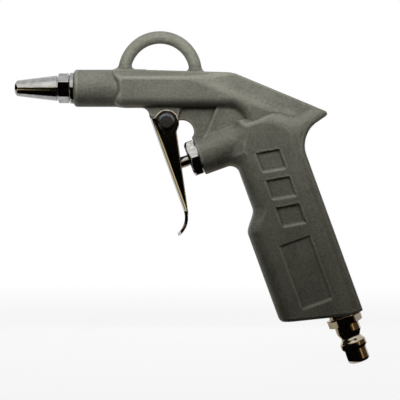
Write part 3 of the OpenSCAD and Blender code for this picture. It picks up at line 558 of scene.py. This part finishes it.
# %% [markdown]
# ## The casting: bar and tail
# The body is one die-cast piece. A grid of two parameters can't give its blends, where the
# round barrel, the faceted bar, the boss, the web and the grip run into each other, so it is
# one field. The bar has flat sides and a bevelled upper edge. Behind it the tail comes to a
# point, with side facets that meet the bar's flat in a long crease.

# %% Bar and tail
BARREL_R, BAR_HALF, GRIP_HALF, GRIP_BACK = 8.55, 9.5, 10.5, 54.8
BAR_TOP = (47.2, 8.55), -1.74
TAIL_TOP = (99.9, 6.95), -22.6
TAIL_UNDER = (137.27, -16.74), 34.6
COVE_R, TIP_R = 9.2, 2.4
BAR_START, BAR_END = 45.2, -34.0
CONE_START, SCOOP_CENTRE, SCOOP_R = 45.0, (41.4, -0.4), 6.9
POCKET_END, POCKET_TOP, POCKET_R = 106, -8.6, 8.0
BEVEL, TAIL_HALF, TAIL_SLOPE = 13.85, 7.0, 0.29


def tail_side(wide, x, z):
    """The tail's side facet, which leans in towards the top line."""
    return sloped(wide, TAIL_HALF, TAIL_SLOPE, half_plane(x, z, *TAIL_TOP))


def side_outline(x, z):
    """The side view of bar, tail and back: the top lines, the round tip, the cove and the back."""
    top = both(half_plane(x, z, *BAR_TOP), half_plane(x, z, *TAIL_TOP), 1.0)
    back = either(-half_plane(x, z, *TAIL_UNDER), leaning(x, z)[0] - GRIP_BACK, COVE_R)
    return both(back, top, TIP_R)


def back_facet(wide, lx, lz):
    """The facet along the back of grip and tail: the half width falls by a quarter of lx."""
    start = 49.2 + 0.22 * np.maximum(lz + 45, 0)
    return sloped(wide, GRIP_HALF, 0.25, lx - start)


def spine(x, y, z):
    """The flat-sided bar and the tail behind it.

    The sides are the nearest of flat, bevel, tail facet and back facet. The pocket is the open
    quarter under the bar and before the grip. At the front a cone takes the bar down to the
    barrel, and a round scoop gives the bar's flat its hollow front edge."""
    lx, lz = leaning(x, z)
    wide = np.abs(y)
    facets = both(sloped(wide, BEVEL, 1.0, z), tail_side(wide, x, z), 0.5)
    shape = both(wide - BAR_HALF, facets, 0.5)
    shape = both(shape, back_facet(wide, lx, lz), 2.0)
    side = both(both(side_outline(x, z), BAR_END - lz, 0.5), BAR_START - x, 0.5)
    shape = both(shape, side, 0.6)
    pocket = both(x - POCKET_END, z - POCKET_TOP, POCKET_R)
    shape = without(shape, pocket, 4.6)
    cone = sloped(length(y, z), BARREL_R, -1.0, x - CONE_START)
    scoop = length(x - SCOOP_CENTRE[0], z - SCOOP_CENTRE[1]) - SCOOP_R
    return without(both(shape, cone, 1.4), scoop, 1.5)


print("Over the pin, the bar's top is", round(-half_plane(PIVOT[0], 0, *BAR_TOP), 2), "mm up")

# %% [markdown]
# ## The casting: grip
# The grip has a rounded front with a step for the hand, a flat side with three sheared squares
# and a long panel sunk in it, and a shoulder that runs up into the tail. The recesses could be
# a bump in the material, but they are real, so that they show from every side.

# %% Recesses and grip
SQUARE_HALF, SQUARE_SHEAR, SQUARE_RAMPS = (5.45, 4.85), math.radians(9.5), (0.45, 0.4, 1.5, 0.4)
PANEL_HALF, PANEL_RAMPS = (7.5, 15.6), (1.3, 0.6, 1.6, 0.6)
RECESSES = [
    ((38.6, lz), SQUARE_HALF, SQUARE_SHEAR, SQUARE_RAMPS, 0.85) for lz in (-33.2, -46.4, -59.6)
] + [((36.0, -86.4), PANEL_HALF, 0.0, PANEL_RAMPS, 0.45)]
RECESS_DEPTH = 1.1
FRONT_HIGH, STEP_BACK, STEP_START, STEP_RUN = 23.6, 6, -50.5, 11
FOOT, FOOT_FALL = (19.4, -104.4), math.radians(14)
SHOULDER = (119.1, -13.6), 16.5
SHOULDER_BACK = (120.24, -10.9), 15.25


def grip_profile(lx, lz):
    """The grip's front with its eased step, and its sloping bottom, in the leaning frame."""
    front = FRONT_HIGH - STEP_BACK * eased((STEP_START - lz) / STEP_RUN)
    bottom = (FOOT[1] - (lx - FOOT[0]) * math.tan(FOOT_FALL) - lz) * math.cos(FOOT_FALL)
    return front, bottom


def recesses(lx, lz):
    """How deep the side of the grip is sunk, as a share of the full depth.

    Each edge has a ramp of its own. The depth is the eased least distance from the four edges,
    measured in ramp widths, so the lower edges come out as broad slopes that catch the light."""
    sunk = 0.0
    for centre, half, shear, (left, right, low, high), share in RECESSES:
        px = lx - centre[0]
        pz = lz - centre[1] + px * math.tan(shear)
        beside = np.minimum((half[0] + px) / left, (half[0] - px) / right)
        above = np.minimum((half[1] + pz) / low, (half[1] - pz) / high)
        sunk = np.maximum(sunk, share * eased(np.minimum(beside, above)))
    return sunk


def grip(x, y, z):
    """The grip: a section with round front edges along the lean, with recesses in both sides.

    Its side leans in above the shoulder's line, by a slope that grows from 0.27 at the back to
    1.02 at the front, and it ends at the tail's facet."""
    lx, lz = leaning(x, z)
    wide = np.abs(y)
    front, bottom = grip_profile(lx, lz)
    front = front + 0.45 * np.maximum(lz + 25, 0)
    shape = both(front - lx, wide - GRIP_HALF, 7.0)
    shape = both(shape, back_facet(wide, lx, lz), 0.8)
    shape = both(shape, side_outline(x, z), 1.6)
    shape = both(shape, bottom, 1.8)
    shape = both(shape, INLET - lz, 0.6)
    below_top = (half_plane(x, z, *TAIL_TOP) + 12.1) * 1.07
    arch = both(half_plane(x, z, *SHOULDER), below_top, 2.0)
    slope = 0.27 + 0.75 * eased((119 - x) / 13)
    shape = both(shape, sloped(wide, GRIP_HALF, slope, arch), 0.5)
    shape = both(shape, tail_side(wide, x, z), 0.5)
    shape = both(shape, half_plane(x, z, *SHOULDER_BACK) - 0.3, 0.1)
    return np.maximum(shape, wide - GRIP_HALF + RECESS_DEPTH * recesses(lx, lz))


print("Recesses a side:", len(RECESSES), "depth of a square:", RECESS_DEPTH * RECESSES[0][-1])

# %% [markdown]
# ## The casting: lug, web, boss and loop
# The trigger's ears straddle a lug. Behind it a thin web closes the corner between bar and
# boss, and a thicker part of the web carries the air up to the barrel. The round boss holds the
# valve, and the half ring on top is for hanging the gun up.

# %% Lug, web, boss and loop
LUG_HALF, LUG_R, LUG_FRONT, LUG_BACK, LUG_FOOT = 4.7, 4.4, 61.9, 75.4, -13.4
ROOT_MIDDLE, ROOT_HALF, ROOT_TOP = 62.7, 12.7, -8.7
THIN_HALF, THICK_HALF, WEB_FRONT, WEB_BACK, IN_BAR = 3.0, 5.5, 74, 112, -7.0
GAP_CENTRE, GAP_R = (76.8, -20.1), 5.5
PASSAGE_EDGE = (92.2, -9.9), 67.6
BOSS_R = 9.0
LOOP_X, LOOP_Z, LOOP_R, LOOP_WIRE = 66.7, 7.0, 16.4, 2.9


def bridge(x, y, z):
    """The lug between the ears, and the web behind it with its thicker part.

    The lug spreads out in a fillet to its root under the bar. Both it and the web end inside
    the bar. The web is cut open by the round gap and along the boss's face."""
    lx, lz = leaning(x, z)
    wide = np.abs(y)
    lug = both(both(LUG_FRONT - x, x - LUG_BACK, 0.4), LUG_FOOT - z, 0.5)
    root = both(ROOT_TOP - z, np.abs(x - ROOT_MIDDLE) - ROOT_HALF, 0.1)
    lug = either(lug, root, LUG_R)
    lug = np.minimum(lug, length(x - PIVOT[0], z - PIVOT[1]) - LUG_R)
    lug = both(both(lug, z - IN_BAR, 0.1), wide - LUG_HALF, 0.4)
    before_boss = both(lx - BOSS_FACE, lz + 8, 0.5)
    gap = np.minimum(length(x - GAP_CENTRE[0], z - GAP_CENTRE[1]) - GAP_R, before_boss)
    web = both(both(WEB_FRONT - x, z - IN_BAR, 0.1), x - WEB_BACK, 0.1)
    web = both(web, both(BOSS_AXIS - lz, -gap, 0.4), 0.1)
    thin = both(web, wide - THIN_HALF, 0.35)
    behind = np.maximum(web, half_plane(x, z, *PASSAGE_EDGE))
    thick = both(behind, wide - THICK_HALF, 0.5)
    return lug, either(thin, thick, 0.6)


def boss(x, y, z):
    """The round boss that holds the valve, square to the grip's lean."""
    lx, lz = leaning(x, z)
    shape = both(length(y, lz - BOSS_AXIS) - BOSS_R, BOSS_FACE - lx, 0.35)
    return both(shape, lx - PLUG_AXIS, 0.5)


def loop(x, y, z):
    """The half ring on top, with two short straight feet."""
    along = np.where(z > LOOP_Z, length(x - LOOP_X, z - LOOP_Z), np.abs(x - LOOP_X)) - LOOP_R
    return both(length(along, y) - LOOP_WIRE, 4.5 - z, 0.2)


print("The loop's opening is", round(2 * (LOOP_R - LOOP_WIRE), 1), "mm wide")

# %% [markdown]
# ## The casting: bores, and the whole
# The bores are those of the CAD part: the adapter's bore in the barrel, the stepped valve
# chamber, the inlet and the pin's hole. They are cut last. A painted highlight runs along the
# tail's crease, which bends too little to be found by the field, so it is added to the attribute
# `edge`, which otherwise says how sharply the surface bends.

# %% Bores and the whole casting
FRONT, BARREL_END, FACE_R = 27.3, 60, 7.7
VALVE_BORES = [(6.55, 21.35), (6.05, 42.3), (3.5, 46.9)]
BARREL_BORES = [(6.05, 37.8), (7.0, 28.25)]
INLET_BORE, INLET_BORE_TOP, PIN_BORE = 6.6, -101.9, 2.05
CREASE_DOWN, CREASE_WIDTH = 8.7, 0.6


def bores(x, y, z):
    """Everything that is drilled in the casting: the least of the drilled cylinders' fields."""
    lx, lz = leaning(x, z)
    made = length(lx, lz) - PIN_BORE
    for r, end in BARREL_BORES:
        made = np.minimum(made, np.maximum(length(y, z) - r, x - end))
    for r, end in VALVE_BORES:
        made = np.minimum(made, np.maximum(length(y, lz - BOSS_AXIS) - r, lx - end))
    inlet = np.maximum(length(y, lx - PLUG_AXIS) - INLET_BORE, lz - INLET_BORE_TOP)
    return np.minimum(made, inlet)


def body(x, y, z):
    """The whole casting.

    The barrel's front has a chamfer, (front - x + r - face's radius) / the root of 2. The fillet
    between boss and grip grows from 1.8 above to 4.5 below."""
    r = length(y, z)
    barrel = both(r - BARREL_R, both(FRONT - x, x - BARREL_END, 0.1), 0.1)
    barrel = both(barrel, (FRONT - x + r - FACE_R) / math.sqrt(2), 0.25)
    below = np.clip((BOSS_AXIS - leaning(x, z)[1]) / 6, 0, 1)
    handle = either(grip(x, y, z), boss(x, y, z), 1.8 + 2.7 * below)
    handle = np.maximum(handle, np.abs(y) - GRIP_HALF)
    lug, web = bridge(x, y, z)
    shape = np.minimum(either(spine(x, y, z), barrel, 1.2), handle)
    shape = either(shape, web, 1.3)
    shape = either(shape, lug, 0.6)
    shape = either(shape, loop(x, y, z), 2.6)
    return np.maximum(shape, -bores(x, y, z))


def edge_share(field, points, reach):
    """How sharply a surface bends: the mean of the field at six places round a point, by the reach.

    On a plane the six values cancel out. On an outer edge the mean is above zero, and in a
    corner it is below."""
    total = sum(field(*(points + side * reach * axis).T) for axis in np.eye(3) for side in (-1, 1))
    return total / (6 * reach)


def tail_crease_highlight(points):
    """A share of 1 along a painted highlight line where the bar's flat meets the tail's facet.

    It falls off as exp(-(d / width)**2), with d the distance from the line."""
    x, y, z = points.T
    d = half_plane(x, z, *TAIL_TOP) + CREASE_DOWN
    return np.exp(-((d / CREASE_WIDTH) ** 2)) * (x > 86) * (x < 120.5) * (np.abs(y) > 8)


print("Drilled bores:", len(VALVE_BORES) + len(BARREL_BORES) + 2)

# %% The casting's mesh
CASTING_STEP = 0.56
half_grid = math.ceil(11 / CASTING_STEP) * CASTING_STEP
points, faces, normals = contour(
    body, (26.4, -half_grid, -111.5), (161, half_grid, 27.2), CASTING_STEP
)
casting_piece = make_mesh("casting_body", points, faces, casting, normals)
bend = casting_piece.data.attributes.new("edge", "FLOAT", "POINT")
# How sharply the surface bends, plus a painted highlight line along the tail's crease
bend.data.foreach_set("value", edge_share(body, points, 1.0) + 0.1 * tail_crease_highlight(points))
placed(casting_piece, "body", "housing")

# %% [markdown]
# ## The nozzle group
# The chromed cone screws on an adapter in the barrel's end, with a thin ring between its
# hexagon and the adapter's flange. All three are profiles round the barrel's axis. Each corner
# is (along, radius, softness), since a real edge is never quite sharp.

# %% Nozzle, ring and adapter
NOZZLE_HEX = (20, 25, 12, 127)
NOZZLE = [
    (0, 1.0, 0.12), (0, 2.3, 0.3), (0.78, 3.39, 0.4), (1.3, 3.65, 0.5), (19.4, 5.9, 0.18),
    (19.4, 5.4, 0.1), (20, 5.4, 0.1), (20, 6.09, 0.05), (20.48, 6.93, 0.2), (25, 6.93, 0.12),
    (25, 4.05, 0.1), (16.3, 4.05, 0.1), (16.3, 2.6, 0.1), (5, 1.0, 0.3),
]
NOZZLE_RING = [(25, 4.05, 0), (25, 5.9, 0.12), (25.4, 5.9, 0.12), (25.4, 4.05, 0)]
ADAPTER = [
    (16.9, 2.6, 0.1), (16.9, 4.0, 0.3), (25.4, 4.0, 0), (25.4, 7.2, 0.45), (27.3, 7.2, 0.45),
    (27.3, 6.0, 0), (36.8, 6.0, 0.5), (36.8, 2.6, 0.1),
]
cone = turned("nozzle_cone", BARREL_LINE, NOZZLE, chrome, [NOZZLE_HEX], 240)
placed(cone, "nozzle", "housing")
ring = turned("nozzle_ring", BARREL_LINE, NOZZLE_RING, rubber)
placed(ring, "nozzle_washer", "housing")
flange = turned("adapter_flange", BARREL_LINE, ADAPTER, chrome)
placed(flange, "nozzle_adapter", "housing")

# %% [markdown]
# ## The valve
# The hexagon cap closes the valve's bore on a bright ring, and the stem comes out of it towards
# the trigger. They are profiles round the valve's axis, measured from the boss's face. The
# stem's round tip stands 0.3 mm off the inside of the trigger's arm.

# %% Valve cap, ring and stem
CAP_HEX = (-5.2, -0.7, 16, 90)
CAP = [
    (-5.2, 2.65, 0.15), (-5.2, 6.9, 0.3), (-3.6, 9.24, 0.3), (-0.7, 9.24, 0.15), (-0.7, 6.5, 0.1),
    (8.5, 6.5, 0.2), (8.5, 5, 0), (12.5, 5, 0), (12.5, 6, 0), (14, 6, 0), (14, 4.9, 0),
    (15.1, 4.9, 0), (15.1, 6, 0), (16.6, 6, 0), (16.6, 4.6, 0), (17, 4.6, 0), (17, 3.8, 0),
    (1.2, 3.8, 0), (1.2, 2.65, 0),
]
CAP_RING = [
    (-0.7, 6.55, 0), (-0.7, 7.7, 0.1), (-0.3, 7.7, 0.1), (-0.3, 8.5, 0.15), (0, 8.5, 0.15),
    (0, 6.55, 0),
]
TIP = 0.3 - (BOSS_FACE + ARM_FRONT - SHEET)
STEM = [
    (TIP, 0, 0), (TIP, 1.6, 0.6), (TIP + 0.9, 2.6, 0.8), (8, 2.6, 0.1), (8.6, 2, 0.1), (17, 2, 0),
    (17, 1.5, 0), (24.26, 1.5, 0), (24.26, 0, 0),
]
cap = turned("cap_hexagon", VALVE_LINE, CAP, chrome, [CAP_HEX])
placed(cap, "valve_cap", "housing")
ring = turned("cap_ring", VALVE_LINE, CAP_RING, plate)
placed(ring, "valve_cap_washer", "housing")
stem = turned("push_rod", VALVE_LINE, STEM, chrome)
placed(stem, "valve_stem", "valve_slide")

# %% [markdown]
# ## The valve spring
# A wire spring pushes the poppet back on its seat. It is a circle carried along a helix, with
# the turns closed up at both ends as on a real spring. It stands between a piece that slides
# and one that doesn't, and the two ends of its axis are worked out here.

# %% Valve spring
SPRING_START, SPRING_LENGTH, SPRING_R, WIRE, TURNS = 21.45, 12.0, 4.7, 0.9, 5


def coil(name, rings=24, sides=12):
    """A closed tube along a helix, with its pitch varied by a sine.

    With the share s from 0 to 1 along the wire, the place along the axis is
    length * (s - sin(2 pi s) / 12), and the angle is 2 pi * turns * s. Each end is filled by
    faces between opposite points of its circle."""
    turn = np.arange(TURNS * rings + 1)[:, None] / rings
    share = turn / TURNS
    around, wire_angle = 2 * np.pi * turn, 2 * np.pi * np.arange(sides)[None, :] / sides
    eased_share = share - np.sin(2 * np.pi * share) / 12
    along = SPRING_START + WIRE / 2 + (SPRING_LENGTH - WIRE) * eased_share
    out = SPRING_R + WIRE / 2 * np.cos(wire_angle)
    lx = BOSS_FACE + along + WIRE / 2 * np.sin(wire_angle)
    x, z = standing(lx, BOSS_AXIS - out * np.cos(around))
    points = np.stack(np.broadcast_arrays(x, out * np.sin(around), z), 2).reshape(-1, 3)
    ring, side = np.divmod(np.arange(TURNS * rings * sides), sides)
    here, beside = ring * sides + side, ring * sides + (side + 1) % sides
    tube = np.stack([here, here + sides, beside + sides, beside], 1)
    k = np.arange(sides // 2 - 1)
    end = np.stack([(sides - k) % sides, k + 1, k + 2, sides - k - 1], 1)
    faces = np.concatenate([tube, end, end[:, ::-1] + TURNS * rings * sides])
    return make_mesh(name, points, faces, spring_steel)


spring = coil("spring_coil")
spring_ends = [
    tuple(MM * v for v in in_space(BOSS_FACE + along, BOSS_AXIS))
    for along in (SPRING_START, SPRING_START + SPRING_LENGTH)
]
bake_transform(spring)
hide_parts("valve_spring")
print("spring_coil for valve_spring", len(spring.data.vertices), "points")

# %% [markdown]
# ## Rivet and plug
# The trigger's pin is a rivet with two broad heads. The plug at the foot of the grip fits a
# quick coupling: a hexagon, a neck for the coupling's balls and a collar. Both are turned.

# %% Rivet, plug and its ring
RIVET = [
    (-8, 0, 0), (-8, 3.0, 0.5), (-7.5, 3.95, 0.3), (-6.5, 3.95, 0.1), (-6.5, 2, 0), (6.5, 2, 0),
    (6.5, 3.95, 0.1), (7.5, 3.95, 0.3), (8, 3.0, 0.5), (8, 0, 0),
]
PLUG_HEX = (0.8, 4.0, 14, 0)
PLUG = [
    (-9.5, 2.75, 0.1), (-9.5, 6.55, 0.6), (0.8, 6.55, 0), (0.8, 8.09, 0.1), (3.5, 8.09, 0.1),
    (4.0, 7.2, 0.1), (4.0, 5.7, 0.25), (7.6, 5.7, 0.4), (9.8, 4.5, 0.9), (10.6, 4.5, 0.9),
    (12.5, 6.0, 0.5), (14.9, 6.0, 0.5), (15.9, 5.0, 0.3), (21.3, 5.0, 0.5), (22.3, 4.0, 0.4),
    (22.3, 2.75, 0.3),
]
PLUG_RING = [(0, 6.6, 0), (0, 8.2, 0.2), (0.8, 8.2, 0.2), (0.8, 6.6, 0)]
rivet = turned("rivet", PIN_LINE, RIVET, dark_steel)
placed(rivet, "pivot_pin", "housing")
plug = turned("quick_plug", PLUG_LINE, PLUG, bronze, [PLUG_HEX], 240)
placed(plug, "inlet_plug", "housing")
ring = turned("plug_ring", PLUG_LINE, PLUG_RING, bronze)
placed(ring, "inlet_washer", "housing")

# %% [markdown]
# ## The trigger
# A pressed channel with round ears and a curl. Its bends have a radius in two directions, which
# no single grid of two parameters gives, so it is a field like the casting, in the leaning frame.

# %% The trigger's field
TRIGGER_HALF, BEND_R, EAR_R, ARM_END = 6.5, 2.3, 5.65, -43.3
ARM_UPPER = (-ARM_FRONT, 4.6), -24
ARM_BACK = (2.9, -4.9), 78.26
CURL_X, CURL_Z, CURL_R, CURL_TOP, CURL_TURN = -15.6, -41, 9.75, -40.9, -74


def trigger_field(lx, y, lz):
    """A channel of sheet, cut to the ear's circle and the tapering arm, and a curl below.

    The channel lies between two rounded corners that are one sheet apart. The curl is a ring
    cut to a sector, with half a sheet on each side of its radius."""
    wide = np.abs(y)
    outer = both(-ARM_FRONT - lx, wide - TRIGGER_HALF, BEND_R)
    inner = both(SHEET - ARM_FRONT - lx, wide - TRIGGER_HALF + SHEET, BEND_R - SHEET)
    arm = both(half_plane(lx, lz, *ARM_UPPER), -half_plane(lx, lz, *ARM_BACK), 0.6)
    arm = both(arm, ARM_END - lz, 0.3)
    outline = either(length(lx, lz) - EAR_R, arm, 0.8)
    channel = both(both(outer, -inner, 0.3), outline, 0.35)
    ring = np.abs(length(lx - CURL_X, lz - CURL_Z) - CURL_R) - SHEET / 2
    tongue = both(lz - CURL_TOP, -half_plane(lx, lz, (CURL_X, CURL_Z), CURL_TURN), 0.2)
    tip = np.where(lx < -ARM_FRONT, length(lx + ARM_FRONT, y), wide) - TRIGGER_HALF
    curl = both(both(ring, tongue, 0.4), tip, 0.3)
    return np.minimum(channel, curl)


TRIGGER_STEP = 0.32
points, faces, normals = contour(
    trigger_field, (-14.1, -7.1, -52.3), (6.5, 7.1, 6.3), TRIGGER_STEP
)
x, z = standing(points[:, 0], points[:, 2])
points = np.stack([x, points[:, 1], z], 1)
x, z = turned_back(normals[:, 0], normals[:, 2])
normals = np.stack([x, normals[:, 1], z], 1)
placed(make_mesh("trigger_channel", points, faces, plate, normals), "trigger", "lever")

# %% [markdown]
# ## Finishes of the CAD nodes
# The seals, the bush, the poppet and its nut are inside, and their CAD shapes are right, so they
# only get a finish. The replaced nodes get one too, as they stay in the model for collision.

# %% Materials of the CAD nodes
FINISH = {
    "body": casting,
    "nozzle": chrome,
    "nozzle_adapter": chrome,
    "nozzle_washer": rubber,
    "trigger": plate,
    "pivot_pin": dark_steel,
    "valve_cap": chrome,
    "valve_cap_washer": chrome,
    "valve_stem": chrome,
    "inlet_plug": bronze,
    "inlet_washer": bronze,
    "adapter_seal": rubber,
    "stem_seal": rubber,
    "gallery_seal": rubber,
    "poppet_seal": rubber,
    "gland_bush": brass,
    "poppet": brass,
    "poppet_nut": spring_steel,
    "valve_spring": spring_steel,
}
for name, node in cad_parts.items():
    node.data.materials.clear()
    node.data.materials.append(FINISH[name].made)
print("Nodes with a finish:", len(FINISH))

# %% [markdown]
# ## Floor and background
# The gun stands in front of white. A brighter lamp could bleach the floor, but it would bleach
# the gun as well. Here the camera, mirrors and glass see the floor mostly as white, with some
# of its shading left for the shadow, and all other light meets a dull grey floor.

# %% Floor and background
SEEN = ("Is Camera Ray", "Is Glossy Ray", "Is Transmission Ray")
FLOOR_Z = -126.5


def seen_rays(tree):
    """1 for the rays of camera, mirror and glass, and 0 for the others."""
    path = tree.nodes.new("ShaderNodeLightPath")
    camera_ray, glossy_ray, glass_ray = (Socket(tree, path.outputs[ray]) for ray in SEEN)
    return camera_ray.larger(glossy_ray).larger(glass_ray)


def mixed_with_white(tree, share, shader, white_kind, end):
    """A tree's output gets the shader, and white of strength 1 by that share."""
    start = Socket(tree, None)
    white = start.node(white_kind, {"Color": (1, 1, 1, 1), "Strength": 1.0})
    mixed = start.node("ShaderNodeMixShader", {0: share, 1: shader, 2: white})
    tree.links.new(mixed.value, end.inputs["Surface"])


ground = Material("pale_floor", Metallic=0.0, Roughness=0.9)
seen = seen_rays(ground.tree)
pale = ground.noise(0.02) * 0.06 + seen * 0.62
ground.set("Base Color", pale.mix((0.12, 0.12, 0.12), (1.0, 1.0, 1.0)))
far = ground.start.node(
    "ShaderNodeVectorMath", {0: ground.place}, output="Value", operation="LENGTH"
).step(0.25, 0.8)
mixed_with_white(
    ground.tree, seen * far.between(0.9, 1.0), Socket(ground.tree, ground.shader.outputs[0]),
    "ShaderNodeEmission", ground.tree.nodes["Material Output"],
)
floor_corners = [(-900, -800), (1100, -800), (1100, 1000), (-900, 1000)]
floor = make_mesh("floor", [(*c, FLOOR_Z) for c in floor_corners], [[0, 1, 2, 3]], ground)

world = bpy.data.worlds.new("studio")
bpy.context.scene.world = world
world.use_nodes = True
world.node_tree.nodes.clear()
air = Socket(world.node_tree, None)
direction = air.node("ShaderNodeTexCoord", output="Generated")
up = air.node("ShaderNodeSeparateXYZ", {"Vector": direction}, output="Z")
sky = up.step(-0.6, 0.8).between(0.02, 0.12)
mixed_with_white(
    world.node_tree, seen_rays(world.node_tree),
    air.node("ShaderNodeBackground", {"Color": (1, 1, 1, 1), "Strength": sky}),
    "ShaderNodeBackground", world.node_tree.nodes.new("ShaderNodeOutputWorld"),
)
print("Floor at", FLOOR_Z, "mm")

# %% [markdown]
# ## Cards for the bright metal
# Chrome shows only what stands round it. In a plain white room it would look like white paint,
# so a photographer sets up dark and coloured cards. These are seen by mirrors alone. Most of
# them glow, so they put painted reflections on the chrome and painted highlights in the
# casting's sheen, and none of them throws diffuse light or a shadow on the gun.

# %% Cards
BLACK, TAN, BROWN = (0.01, 0.01, 0.01), (0.75, 0.55, 0.34), (0.1, 0.07, 0.035)
GOLD, SOFT_GOLD, OLD_GOLD = (0.8, 0.58, 0.27), (0.75, 0.6, 0.3), (0.75, 0.58, 0.27)
BEIGE, WARM_WHITE = (0.55, 0.5, 0.42), (0.9, 0.9, 0.87)


def lying(corners, lift):
    """A card that lies a little above the floor."""
    return [(x, y, FLOOR_Z + lift) for x, y in corners]


def box_corners(x0, y0, x1, y1):
    """The corners of a rectangle in the plan view."""
    return [(x0, y0), (x1, y0), (x1, y1), (x0, y1)]


def upright(a, b, low, high):
    """A card that stands over the line from a to b in the plan view."""
    return [(*a, low), (*b, low), (*b, high), (*a, high)]


def card(name, corners, colour, light):
    """A flat card that only mirrors see, in a colour that varies by a tenth, glowing by light."""
    paint = Material(name + "_paint", Metallic=0.0, Roughness=0.8, Specular_IOR_Level=0.0)
    shade = paint.noise(0.01).mix(tuple(c * 0.9 for c in colour), colour)
    paint.set("Base Color", shade)
    paint.set("Emission Color", shade)
    paint.set("Emission Strength", light)
    made = make_mesh(name, corners, [[0, 1, 2, 3]], paint)
    made.visible_camera = made.visible_diffuse = made.visible_shadow = False


LOW = FLOOR_Z
patch = [(-290, -630), (-290, -150), (-100, -75), (-100, -300)]
tilted = [(-60, -112, 15), (220, -112, 15), (220, -50, 95), (-60, -50, 95)]
CARDS = [
    ("dark_table", lying(box_corners(15, -1500, 1700, 700), 1), BLACK, 0.0),
    ("dark_table_left", lying(box_corners(-1500, -1500, 15, -10), 1), BLACK, 0.0),
    ("dark_wall", upright((-1500, -1500), (1700, -1500), LOW, 105), BLACK, 0.0),
    ("warm_strip", upright((-1500, -1495), (1700, -1495), 85, 430), TAN, 0.8),
    ("dark_side", upright((-900, 900), (-900, -1500), LOW, 500), BLACK, 0.0),
    ("brown_side", upright((1200, -1500), (1200, 700), LOW, 600), BROWN, 1.0),
    ("gold_post", upright((1190, -1100), (1190, -750), LOW, 200), GOLD, 1.0),
    ("gold_patch", lying(patch, 2), SOFT_GOLD, 1.0),
    ("beige_patch", lying(box_corners(20, 8, 160, 300), 2), BEIGE, 0.8),
    ("soft_front", tilted, WARM_WHITE, 1.5),
    ("warm_post", upright((-780, -1490), (-640, -1490), -120, 105), OLD_GOLD, 1.0),
]
for name, corners, colour, light in CARDS:
    card(name, corners, colour, light)
print("Cards:", len(CARDS))

# %% [markdown]
# ## Lights and camera
# Three soft boxes: one near the front, one above and a wide one behind, all at a plain level.
# The mirrors don't see them, since the cards give the metal its highlights. The camera looks
# along the y axis from far off, with a long lens, as the photo's straight lines ask for.

# %% Lights
SOFT_BOXES = [
    ("key", (78, -66, 42), (84, 0, 0), (150, 50), 0.1),
    ("top", (90, 60, 170), (85, 0, 0), (250, 120), 0.045),
    ("back", (85, 220, 10), (85, 0, -30), (220, 160), 0.26),
]


def towards(place, target):
    """Axes for something at a place that looks at a target: right, up and away."""
    away = np.array(place, float) - np.array(target, float)
    away /= np.linalg.norm(away)
    right = np.cross([0, 0, 1], away)
    right /= np.linalg.norm(right)
    return right, np.cross(away, right), away


def soft_box(name, place, target, size, watts):
    """A rectangular light that looks at a target, sized in millimetres."""
    data = bpy.data.lights.new(name, "AREA")
    data.shape = "RECTANGLE"
    data.size, data.size_y = size[0] * MM, size[1] * MM
    data.energy = watts
    made = bpy.data.objects.new(name, data)
    bpy.context.collection.objects.link(made)
    rows = np.eye(4)
    rows[:3, :3] = np.stack(towards(place, target), 1)
    rows[:3, 3] = np.array(place) * MM
    made.matrix_world = Matrix(rows.tolist())
    made.visible_glossy = False


for settings in SOFT_BOXES:
    soft_box(*settings)

# %% Camera
CAMERA_PLACE = (85.1, -767, -51.4)
camera_data = bpy.data.cameras.new("camera")
camera_data.lens = 150
camera_data.sensor_width = 36
camera_data.dof.use_dof = False
camera = bpy.data.objects.new("camera", camera_data)
bpy.context.collection.objects.link(camera)
camera.location = [v * MM for v in CAMERA_PLACE]
camera.rotation_euler = (math.pi / 2, 0, 0)
bpy.context.scene.camera = camera
bpy.context.scene.view_settings.view_transform = "Standard"
print("Camera at", [round(v, 4) for v in camera.location])
